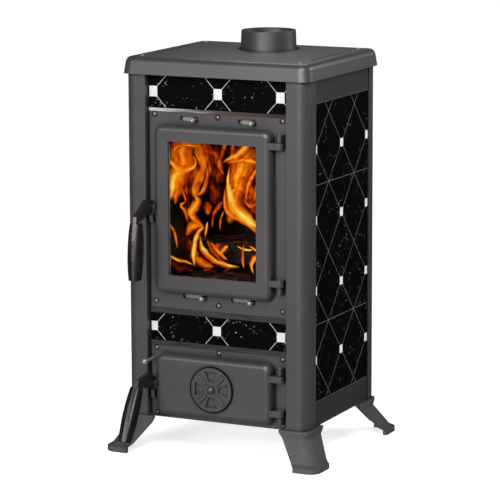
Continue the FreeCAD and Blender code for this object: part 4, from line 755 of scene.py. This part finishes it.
class STOVE_OT_side_sheets(bpy.types.Operator):
    """Perforates the vent sheets above the tiles and the rails below them"""
    bl_idname = "stove.side_sheets"
    bl_label = "Perforated Side Sheets"

    def execute(self, context):
        for node_name in ("side_grilles", "side_rails"):
            shape = bmesh.new()
            low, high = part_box(node_name)
            for side in (-1, 1):
                self.sheet(shape, side, low, high)
            made_piece(f"perforated_{node_name}", shape, sprayed_heat_paint, "stove",
                       (node_name,), smooth=False)
        return {"FINISHED"}

    def sheet(self, shape, side, low, high):
        """One tray: a face full of slots, and the four flanges that stand it off its backing."""
        sizes = settings("stove_sizes")
        face, back, thick = high.x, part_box("side_tiles_right")[0].x, sizes.sheet
        # The solid border, and the open shares of the slots' pitch and of their rows' spacing
        border, open_along, open_up = 3 * MM, 0.78, 0.42

        def lines(start, end, step, opening):
            count = int((end - start - 2 * border) / step)
            first = (start + end - count * step) / 2
            cuts = [start]
            for index in range(count):
                middle = first + (index + 0.5) * step
                cuts += [middle - opening / 2, middle + opening / 2]
            return cuts + [end]

        columns = lines(low.y, high.y, sizes.slot_pitch, sizes.slot_pitch * open_along)
        rows = lines(low.z, high.z, sizes.slot_rows, sizes.slot_rows * open_up)
        grid = {}

        def corner(i, j, depth):
            key = (i, j, depth)
            if key not in grid:
                grid[key] = shape.verts.new((side * (face - depth * thick), columns[i], rows[j]))
            return grid[key]

        across, up = len(columns) - 1, len(rows) - 1

        def solid(i, j):
            return 0 <= i < across and 0 <= j < up and not (i % 2 and j % 2)

        for i in range(across):
            for j in range(up):
                if not solid(i, j):
                    continue
                for depth in (0, 1):
                    shape.faces.new((corner(i, j, depth), corner(i + 1, j, depth),
                                     corner(i + 1, j + 1, depth), corner(i, j + 1, depth)))
                for step, ends in (((-1, 0), ((0, 0), (0, 1))), ((1, 0), ((1, 0), (1, 1))),
                                   ((0, -1), ((0, 0), (1, 0))), ((0, 1), ((0, 1), (1, 1)))):
                    if not solid(i + step[0], j + step[1]):
                        (a0, b0), (a1, b1) = ends
                        shape.faces.new((corner(i + a0, j + b0, 0), corner(i + a1, j + b1, 0),
                                         corner(i + a1, j + b1, 1), corner(i + a0, j + b0, 1)))

        def place(a, b, depth):
            return Vector((side * depth, a, b))

        for first, last in (((low.y, low.z), (high.y, low.z + thick)),
                            ((low.y, high.z - thick), (high.y, high.z)),
                            ((low.y, low.z + thick), (low.y + thick, high.z - thick)),
                            ((high.y - thick, low.z + thick), (high.y, high.z - thick))):
            slab(shape, first, last, place, back, face - thick)


class STOVE_OT_metalwork(bpy.types.Operator):
    """Finishes the trims, screws, pins, bolts, knobs and slides"""
    bl_idname = "stove.metalwork"
    bl_label = "Trims and Fasteners"

    def execute(self, context):
        coat(brushed_trim, "front_trims")
        coat(blackened_screw, "front_screws")
        coat(zinc_plated_steel, "case_screws", "frame_bolts", "hinge_pins", "glass_clips",
             "upper_air_slide", "lower_air_slide", "shaker_rod")
        return {"FINISHED"}


class STOVE_OT_handles(bpy.types.Operator):
    """Finishes the door levers and their grips"""
    bl_idname = "stove.handles"
    bl_label = "Handles"

    def execute(self, context):
        for door in ("fire", "ash"):
            coat(worn_black_lever, f"{door}_handle_lever")
            coat(moulded_phenolic, f"{door}_handle_grip")
        return {"FINISHED"}


class STOVE_OT_glazing(bpy.types.Operator):
    """Glazes the fire door and lays the woven tape behind its frame"""
    bl_idname = "stove.glazing"
    bl_label = "Glass"

    def execute(self, context):
        coat(ceramic_glass, "door_glass")
        low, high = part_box("glass_gasket")
        # Tape width, play at the frame, share of the gasket's thickness, and share of that left in the dips
        tape, clearance, full, dip = 6.6 * MM, 0.2 * MM, 0.95, 0.82
        half = Vector((tape / 2, (high.y - low.y) / 2 * full))
        corners = [(-1, -0.7), (-0.9, -1), (0.9, -1), (1, -0.7), (1, 0.7), (0.9, 1), (-0.9, 1), (-1, 0.7)]
        path, outward = loop_path(low, high, inset=tape / 2 + clearance, corner=6 * MM, step=1.5 * MM)
        shape = bmesh.new()
        rings = []
        for step, (point, out) in enumerate(zip(path, outward)):
            swell = half.y * (1 if step % 2 else dip)
            rings.append([point + out * half.x * a - FRONT * swell * b for a, b in corners])
        loft(shape, rings, loop=True)
        made_piece("woven_glass_tape", shape, braided_glass_rope, "fire_leaf", ("glass_gasket",))
        return {"FINISHED"}


class STOVE_OT_seals(bpy.types.Operator):
    """Braids the rope seals that lie in the doors' grooves"""
    bl_idname = "stove.seals"
    bl_label = "Rope Seals"

    def execute(self, context):
        for door in ("fire", "ash"):
            self.braid(door)
        return {"FINISHED"}

    def braid(self, door):
        """Three strands that cross over and under each other all the way round a door."""
        low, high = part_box(f"{door}_door_seal")
        radius = (high.y - low.y) / 2
        strand, strands, sides = radius * 0.46, 3, 8
        path, outward = loop_path(low, high, inset=radius, corner=12 * MM, step=3 * MM)
        run = sum((after - point).length for point, after in zip(path, path[1:] + path[:1]))
        turns = round(run / settings("stove_sizes").braid)
        shape = bmesh.new()
        for index in range(strands):
            centres, gone = [], 0
            for step, (point, out) in enumerate(zip(path, outward)):
                phase = math.tau * (turns * gone / run + index / strands)
                centres.append(point + out * (radius - strand) * math.sin(phase)
                               - FRONT * (radius - strand) * 0.5 * math.sin(2 * phase))
                gone += (path[(step + 1) % len(path)] - point).length
            rings = []
            for step, centre in enumerate(centres):
                ahead = (centres[(step + 1) % len(centres)] - centres[step - 1]).normalized()
                across = ahead.cross(FRONT).normalized()
                level = across.cross(ahead)
                rings.append([centre + strand * (across * math.cos(turn) + level * math.sin(turn))
                              for turn in (math.tau * part / sides for part in range(sides))])
            loft(shape, rings, loop=True)
        made_piece(f"{door}_door_rope", shape, braided_glass_rope, f"{door}_leaf",
                   (f"{door}_door_seal",))


class STOVE_OT_soot(bpy.types.Operator):
    """Lays black rings of painted shadow in the gaps round the air spinner and the front screws"""
    bl_idname = "stove.soot"
    bl_label = "Soot"

    def execute(self, context):
        # A black ring of painted shadow round the spinner, where its gap lies in shade
        low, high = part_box("air_spinner")
        disc = (high.x - low.x) / 2
        shape = bmesh.new()
        self.ring(shape, (low + high) / 2, inner=disc + 0.3 * MM, outer=disc + 3.0 * MM,
                  front=high.y - 3.8 * MM, back=high.y + 0.4 * MM)
        made_piece("spinner_soot", shape, settled_soot, "ash_leaf", smooth=False)
        # Black rings of painted shadow round the screw heads, where their recesses lie in shade
        shape = bmesh.new()
        for centre, rim, face in self.heads("front_screws"):
            self.ring(shape, centre, inner=rim + 0.1 * MM, outer=rim + 1.6 * MM,
                      front=face - 0.5 * MM, back=face + 0.1 * MM)
        made_piece("screw_soot", shape, settled_soot, "stove", smooth=False)
        return {"FINISHED"}

    def heads(self, name):
        """Centre, radius and seat of each forward-facing screw head of a node."""
        # How far apart one screw's points lie at most, and the share of its radius where its rim begins
        reach, outermost = 12 * MM, 0.95
        groups = []
        for vertex in NODES[name].data.vertices:
            for group in groups:
                if math.hypot(vertex.co.x - group[0].x, vertex.co.z - group[0].z) < reach:
                    group.append(vertex.co)
                    break
            else:
                groups.append([vertex.co])
        found = []
        for group in groups:
            centre = Vector([(min(along) + max(along)) / 2 for along in zip(*group)])
            rim = max(p.x for p in group) - centre.x
            face = max(p.y for p in group if math.hypot(p.x - centre.x, p.z - centre.z) > outermost * rim)
            found.append((centre, rim, face))
        return found

    def ring(self, shape, centre, inner, outer, front, back):
        """A flat ring that faces forwards."""
        steps = 48
        rings = []
        for step in range(steps):
            turn = math.tau * step / steps
            out = Vector((math.cos(turn), 0, math.sin(turn)))
            rings.append([Vector((centre.x, depth, centre.z)) + out * reach
                          for reach, depth in ((inner, front), (outer, front), (outer, back), (inner, back))])
        loft(shape, rings, loop=True)


class STOVE_OT_firebox(bpy.types.Operator):
    """Finishes the firebricks, baffle, grates and ash pan"""
    bl_idname = "stove.firebox"
    bl_label = "Firebox"

    def execute(self, context):
        coat(sooted_firebrick, "firebrick_left", "firebrick_right", "firebrick_back", "baffle_plate")
        coat(raw_grate_iron, "grate_frame", "shaker_grate")
        coat(galvanised_pan, "ash_pan")
        return {"FINISHED"}


# Each flame: depth behind the firebox front in mm, heat, which edge is hottest (-1 left, 1 right, 0 both),
# and its run through the window as shares of its width and height from the top left, with widths in mm
FLAMES = (
    (32, 0.60, 0, ((0.05, 0.47, 4), (0.07, 0.38, 34), (0.10, 0.26, 66), (0.15, 0.10, 76), (0.20, -0.06, 70))),
    (14, 0.82, 1, ((-0.03, 0.11, 8), (0.06, 0.18, 18), (0.15, 0.195, 20), (0.25, 0.18, 15), (0.29, 0.14, 10),
                   (0.265, 0.09, 4))),
    (16, 0.74, 0, ((0.05, 0.13, 4), (0.06, 0.05, 9), (0.14, 0.02, 9), (0.32, 0.02, 10))),
    (20, 0.86, 0, ((0.0, 0.44, 4), (0.02, 0.36, 24), (0.04, 0.29, 38), (0.09, 0.225, 42), (0.17, 0.20, 22))),
    (22, 0.66, 1, ((0.34, -0.05, 40), (0.35, 0.06, 38), (0.39, 0.13, 30), (0.39, 0.19, 22), (0.34, 0.27, 28),
                   (0.29, 0.36, 20), (0.27, 0.40, 5))),
    (12, 0.66, 1, ((0.44, 0.17, 4), (0.425, 0.28, 12), (0.38, 0.36, 13), (0.29, 0.395, 4))),
    (34, 0.40, 0, ((0.40, -0.05, 14), (0.43, 0.08, 15), (0.46, 0.15, 14), (0.47, 0.24, 4))),
    (34, 0.42, 0, ((0.66, -0.05, 12), (0.60, 0.07, 16), (0.57, 0.14, 16), (0.62, 0.22, 5))),
    (30, 0.52, 0, ((0.73, -0.05, 12), (0.72, 0.06, 14), (0.68, 0.13, 4))),
    (18, 0.52, 0, ((0.08, 0.28, 6), (0.15, 0.38, 8), (0.175, 0.44, 6), (0.12, 0.47, 8), (0.17, 0.52, 10),
                   (0.20, 0.60, 3))),
    (36, 0.62, 0, ((0.68, 0.58, 18), (0.73, 0.45, 44), (0.77, 0.32, 58), (0.82, 0.18, 70), (0.92, 0.0, 84))),
    (14, 0.84, 0, ((0.76, 0.50, 6), (0.70, 0.42, 14), (0.675, 0.33, 13), (0.67, 0.26, 9), (0.69, 0.16, 3))),
    (12, 0.92, 0, ((0.68, 0.27, 8), (0.695, 0.38, 30), (0.74, 0.455, 44), (0.85, 0.52, 36), (0.97, 0.575, 26),
                   (1.08, 0.62, 14))),
    (14, 0.60, 0, ((1.06, 0.67, 8), (0.86, 0.56, 14), (0.72, 0.53, 15), (0.65, 0.48, 13), (0.63, 0.42, 11),
                   (0.635, 0.32, 4))),
    (12, 0.82, -1, ((0.61, 0.13, 2), (0.70, 0.10, 16), (0.80, 0.07, 22), (0.88, 0.01, 20), (0.94, -0.06, 8))),
    (16, 0.64, 0, ((0.66, 0.13, 3), (0.80, 0.105, 14), (0.92, 0.105, 14), (1.05, 0.13, 8))),
    (12, 0.66, 0, ((1.05, 0.12, 6), (0.95, 0.22, 14), (0.90, 0.30, 12), (0.87, 0.40, 3))),
    (20, 0.52, 0, ((0.86, 0.40, 4), (0.93, 0.44, 12), (1.05, 0.40, 14))),
    (24, 0.50, 0, ((1.06, 0.20, 26), (1.0, 0.32, 22), (0.97, 0.40, 8))),
    (14, 0.70, 0, ((0.265, 0.37, 5), (0.32, 0.43, 22), (0.28, 0.48, 28), (0.235, 0.53, 26), (0.30, 0.575, 22),
                   (0.39, 0.62, 5))),
    (34, 0.46, 0, ((0.42, 0.43, 12), (0.435, 0.475, 27), (0.44, 0.53, 10))),
    (24, 0.48, 0, ((0.485, 0.62, 3), (0.50, 0.53, 9), (0.55, 0.47, 16), (0.61, 0.42, 8))),
    (18, 0.58, 0, ((0.58, 0.64, 2), (0.58, 0.57, 8), (0.62, 0.49, 5))),
    (26, 0.46, 0, ((0.18, 0.70, 8), (0.24, 0.64, 30), (0.32, 0.61, 26), (0.38, 0.63, 6))),
    (10, 0.90, 0, ((0.27, 0.925, 4), (0.265, 0.83, 17), (0.285, 0.73, 16), (0.33, 0.66, 12),
                   (0.395, 0.62, 4))),
    (12, 0.82, -1, ((0.34, 0.68, 3), (0.355, 0.77, 13), (0.42, 0.83, 18), (0.52, 0.88, 15), (0.66, 0.90, 11),
                    (0.80, 0.905, 3))),
    (18, 0.66, -1, ((0.46, 0.73, 3), (0.52, 0.78, 12), (0.60, 0.83, 10), (0.66, 0.86, 2))),
    (20, 0.56, 0, ((0.58, 0.82, 6), (0.62, 0.78, 18), (0.67, 0.75, 5))),
    (14, 0.76, 0, ((0.40, 0.70, 3), (0.415, 0.64, 9), (0.43, 0.58, 3))),
    (16, 0.40, 0, ((0.30, 0.80, 10), (0.31, 0.87, 24), (0.40, 0.90, 26), (0.50, 0.92, 8))),
    (10, 0.82, 0, ((-0.04, 0.85, 6), (0.08, 0.89, 10), (0.17, 0.895, 9), (0.255, 0.915, 3))),
    (16, 0.60, 0, ((-0.02, 0.61, 4), (0.04, 0.68, 8), (0.06, 0.74, 7), (0.075, 0.80, 2))),
    (12, 0.56, 0, ((0.85, 0.91, 2), (0.835, 0.83, 9), (0.85, 0.73, 4))),
    (10, 0.76, -1, ((1.06, 0.80, 12), (0.97, 0.83, 18), (0.93, 0.88, 12), (0.965, 0.95, 2))),
    (14, 0.84, 0, ((0.77, 0.745, 2), (0.84, 0.765, 7), (0.91, 0.77, 6), (0.95, 0.765, 2))),
    (18, 0.60, 0, ((0.91, 0.735, 3), (0.97, 0.76, 8), (1.05, 0.79, 4))),
    (28, 0.22, 0, ((-0.04, 0.90, 20), (0.10, 0.935, 28), (0.25, 0.95, 10))),
    (36, 0.22, 0, ((0.15, 0.70, 20), (0.20, 0.78, 36), (0.26, 0.86, 26), (0.30, 0.93, 8))),
    (30, 0.22, 0, ((0.42, 0.72, 8), (0.50, 0.80, 22), (0.60, 0.86, 20), (0.69, 0.90, 4))),
    (50, 0.16, 0, ((0.50, -0.06, 90), (0.50, 0.10, 84), (0.52, 0.28, 70), (0.53, 0.50, 8))),
    (48, 0.25, 0, ((0.84, -0.06, 90), (0.86, 0.20, 90), (0.90, 0.45, 60), (0.90, 0.62, 10))),
    (48, 0.21, 0, ((0.25, -0.06, 110), (0.22, 0.20, 110), (0.20, 0.42, 76), (0.22, 0.62, 10))),
    (44, 0.52, 0, ((1.16, 0.80, 20), (1.14, 0.55, 46), (1.20, 0.30, 52), (1.16, 0.08, 34), (1.20, -0.04, 8))),
    (40, 0.66, 0, ((1.28, 0.86, 10), (1.30, 0.66, 24), (1.27, 0.50, 20), (1.30, 0.36, 5))),
)


class STOVE_OT_fire(bpy.types.Operator):
    """Lays split logs and embers on the grate and lights them"""
    bl_idname = "stove.fire"
    bl_label = "Fire"

    def execute(self, context):
        self.logs()
        self.embers()
        self.flames()
        return {"FINISHED"}

    def logs(self):
        """Four split logs in two layers, each with its two ends and its girth as a share of the setting."""
        radius = settings("stove_fire").log
        floor = Vector(OPENINGS["firebox"][0]).z + radius
        stack = floor + 1.9 * radius
        spots = (((-0.126, -0.048, floor), (0.122, -0.040, floor), 1.0),
                 ((-0.122, 0.062, floor), (0.126, 0.050, floor), 1.04),
                 ((-0.058, -0.016, stack), (0.128, -0.002, stack + 4 * MM), 0.92),
                 ((-0.128, 0.036, stack - 2 * MM), (0.030, 0.066, stack + 14 * MM), 0.8))
        for number, (start, end, share) in enumerate(spots, 1):
            shape = bmesh.new()
            self.log(shape, Vector(start), Vector(end), radius * share, number)
            made_piece(f"split_log_{number}", shape, charred_wood, "stove")

    def log(self, shape, start, end, radius, seed):
        """One log: an uneven quarter-split section that wanders along its length."""
        ahead = (end - start).normalized()
        across = ahead.cross(UP).normalized()
        level = across.cross(ahead)
        rings, steps, parts = [], 36, 28
        for step in range(steps + 1):
            share = step / steps
            close = min(1.0, 0.72 + 6 * min(share, 1 - share))
            ring = []
            for part in range(parts):
                turn = math.tau * part / parts
                out, rise = math.cos(turn), math.sin(turn)
                # Two split faces flatten the section, and two grades of noise roughen it
                split = 1 - 0.16 * max(0, math.cos(turn * 2 + seed)) ** 2
                rough = noise.noise(Vector((share * 5, out * 2.2, rise * 2.2 + seed * 9)))
                bark = noise.noise(Vector((share * 3, out * 7, rise * 7 + seed * 5)))
                reach = radius * close * split * (0.9 + 0.1 * rough + 0.06 * bark)
                ring.append(start.lerp(end, share) + reach * (across * out + level * rise))
            rings.append(ring)
        loft(shape, rings)

    def embers(self):
        """A bed of glowing charcoal over the grate: flattened balls made uneven by noise."""
        low, high = (Vector(corner) for corner in OPENINGS["firebox"])
        draw = random.Random(11)
        margin = 20 * MM
        shape = bmesh.new()
        for number in range(settings("stove_fire").embers):
            size = draw.uniform(7, 13) * MM
            across = draw.uniform(low.x + margin, high.x - margin)
            depth = draw.uniform(low.y + margin, high.y - 2 * margin)
            centre = Vector((across, depth, low.z - 1 * MM + size * 0.8))
            made = bmesh.ops.create_icosphere(shape, subdivisions=2, radius=size)
            for vertex in made["verts"]:
                lump = noise.noise(vertex.co / size * 1.3 + Vector((number * 3.1, 0, 0)))
                vertex.co = centre + Vector((vertex.co.x, vertex.co.y, vertex.co.z * 0.75)) * (1 + 0.3 * lump)
        made_piece("ember_bed", shape, glowing_charcoal, "stove")

    def flames(self):
        """Curling sheets of flame, each a thin closed blade with its heat and cover stored on its points."""
        shape = bmesh.new()
        floats, vectors = shape.verts.layers.float, shape.verts.layers.float_vector
        floats.new("warmth")
        floats.new("veil")
        vectors.new("flow")
        layers = floats["warmth"], floats["veil"], vectors["flow"]
        for number, (depth, warmth, edge, run) in enumerate(FLAMES):
            self.flame(shape, layers, number, depth * MM, warmth, edge, run)
        made_piece("wood_flames", shape, wood_flame, "stove")

    def flame(self, shape, layers, number, depth, warmth, edge, run):
        """One blade of flame along its run, thickest in the middle and drawn out at its ends."""
        heat, veil, flow = layers
        plane = OPENINGS["firebox"][0][1] + depth
        line = smooth_line([(across, down, wide * MM) for across, down, wide in run], 12)
        centres = [self.behind_window(point.x, point.y, plane) for point in line]
        spread = [-1, -0.9, -0.75, -0.55, -0.3, 0, 0.3, 0.55, 0.75, 0.9, 1]
        across = spread + spread[-2:0:-1]
        facing = [1] * len(spread) + [-1] * (len(spread) - 2)
        thinnest, thickest, broad = 0.4 * MM, 2.5 * MM, 12 * MM
        rows, halves, gone = [], [], [0.0]
        # Width and curl waver along the blade, differently for each flame
        for step, (centre, point) in enumerate(zip(centres, line)):
            before, after = centres[max(0, step - 1)], centres[min(len(centres) - 1, step + 1)]
            side = (after - before).cross(FRONT).normalized()
            swell = 1 + 0.2 * noise.noise(Vector((step * 0.16, number * 2.7, 0)))
            half = max(thinnest, point.z * 0.45 * swell)
            curl = side * half * 0.2 * noise.noise(Vector((step * 0.14, number * 4.1, 5)))
            thick = min(thickest, half * 0.3)
            rows.append([centre + curl + side * half * s + FRONT * thick * (1 - s * s) * turn
                         for s, turn in zip(across, facing)])
            halves.append(half)
            gone.append(gone[-1] + (after - centre).length)
        made = loft(shape, rows)
        # Heat falls off from the middle or the hot edge, and cover towards the sides and ends
        for step, row in enumerate(made):
            share = step / (len(made) - 1)
            fade, core, cover = (3.5, 0.7, 1.05) if halves[step] > broad else (6, 0.9, 1.1)
            ends = min(1.0, fade * min(share, 1 - share) + 0.04)
            for vertex, s in zip(row, across):
                near = max(0.0, 1 - abs(s - edge * 0.55) / 1.3) if edge else 1 - abs(s)
                vertex[heat] = warmth * (0.3 + 0.7 * near ** core) - 0.05
                vertex[veil] = ends * min(1.0, cover * (1 - abs(s)))
                vertex[flow] = Vector((s * halves[step], gone[step], number * 0.37))

    def behind_window(self, across, down, plane):
        """Where the line of sight through a point of the window meets a plane inside the firebox."""
        low, high = (Vector(corner) for corner in OPENINGS["door_window"])
        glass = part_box("door_glass")[0].y
        eye = Vector(settings("stove_stage").camera)
        seen = Vector((low.x + (high.x - low.x) * across, glass, high.z - (high.z - low.z) * down))
        return eye + (seen - eye) * (plane - eye.y) / (glass - eye.y)


class STOVE_OT_stage(bpy.types.Operator):
    """Sets up the pale floor, the soft light and the camera"""
    bl_idname = "stove.stage"
    bl_label = "Stage"

    def execute(self, context):
        self.floor()
        self.surround(context.scene)
        self.lamps()
        self.camera(context.scene)
        context.scene.view_settings.view_transform = "Standard"
        return {"FINISHED"}

    def floor(self):
        """A light table that runs far past the picture."""
        reach = 60.0
        shape = bmesh.new()
        shape.faces.new([shape.verts.new((x * reach, y * reach, 0)) for x, y in
                         ((-1, -1), (1, -1), (1, 1), (-1, 1))])
        floor = meshed("studio_floor", shape, white_light_table)
        floor.visible_glossy = False

    def surround(self, scene):
        """White paper to the eye, and a weak fill to everything else."""
        world = bpy.data.worlds.new("studio_surround")
        add = cleared(world)
        seen = add("LightPath").outputs["Is Camera Ray"]
        fill = add("Background", {"Color": (1, 1, 1), "Strength": settings("stove_stage").fill})
        paper = add("Background", {"Color": (1, 1, 1), "Strength": 1.0})
        add("OutputWorld", {"Surface": add("MixShader", {0: seen, 1: fill, 2: paper})})
        scene.world = world

    def lamps(self):
        """Two soft suns, given by spread in degrees and turn, and three lamps, by size, place and aim."""
        stage = settings("stove_stage")
        for name, strength, spread, turn in (("key_light", stage.key, 24, stage.key_turn),
                                             ("edge_light", stage.edge, 8, stage.edge_turn)):
            light = bpy.data.lights.new(name, "SUN")
            light.energy = strength
            light.angle = math.radians(spread)
            put(name, light).rotation_euler = (math.pi / 2 - stage.key_rise, 0, turn)
        for name, power, size, place, aim in (
                ("upper_light", stage.top, 0.9, (0.85, -1.85, 1.9), (0.05, -0.05, 0.8)),
                ("side_light", stage.side, 0.4, (0.9, 0.7, 1.2), (0.22, 0.05, 0.82)),
                ("back_light", stage.back, 0.5, (-0.15, 0.5, 1.5), (-0.05, 0.05, 0.86))):
            light = bpy.data.lights.new(name, "AREA")
            light.energy = power
            light.size = size
            lamp = put(name, light)
            lamp.location = place
            lamp.rotation_euler = (Vector(aim) - lamp.location).to_track_quat("-Z", "Y").to_euler()

    def camera(self, scene):
        """The camera, turned, tilted and rolled as set."""
        stage = settings("stove_stage")
        lens = bpy.data.cameras.new("camera")
        lens.sensor_width = 36
        lens.lens = stage.lens
        lens.clip_end = 200
        camera = put("camera", lens)
        camera.location = stage.camera
        aim = Euler((math.pi / 2 - stage.tilt, 0, stage.turn)).to_matrix()
        camera.rotation_euler = (aim @ Euler((0, 0, stage.roll)).to_matrix()).to_euler()
        scene.camera = camera


OPERATORS = (STOVE_OT_castings, STOVE_OT_tiles, STOVE_OT_side_sheets, STOVE_OT_metalwork, STOVE_OT_handles,
             STOVE_OT_glazing, STOVE_OT_seals, STOVE_OT_soot, STOVE_OT_firebox, STOVE_OT_fire, STOVE_OT_stage)


class STOVE_PT_dresser(bpy.types.Panel):
    """Settings and steps of the stove's dressing"""
    bl_idname = "STOVE_PT_dresser"
    bl_label = "Stove"
    bl_space_type = "VIEW_3D"
    bl_region_type = "UI"
    bl_category = "Stove"

    def draw(self, context):
        for operator in OPERATORS:
            self.layout.operator(operator.bl_idname)
        for group, kind in GROUPS.items():
            box = self.layout.box()
            for name in kind.__annotations__:
                box.prop(getattr(context.scene, group), name)


CLASSES = (*GROUPS.values(), *OPERATORS, STOVE_PT_dresser)


def register():
    for kind in CLASSES:
        bpy.utils.register_class(kind)
    for group, kind in GROUPS.items():
        setattr(bpy.types.Scene, group, PointerProperty(type=kind))


def unregister():
    for group in GROUPS:
        delattr(bpy.types.Scene, group)
    for kind in reversed(CLASSES):
        bpy.utils.unregister_class(kind)


def main():
    """Registers the add-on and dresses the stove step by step."""
    register()
    for operator in OPERATORS:
        area, name = operator.bl_idname.split(".")
        getattr(getattr(bpy.ops, area), name)()
    bpy.context.view_layer.update()


if __name__ == "__main__":
    main()
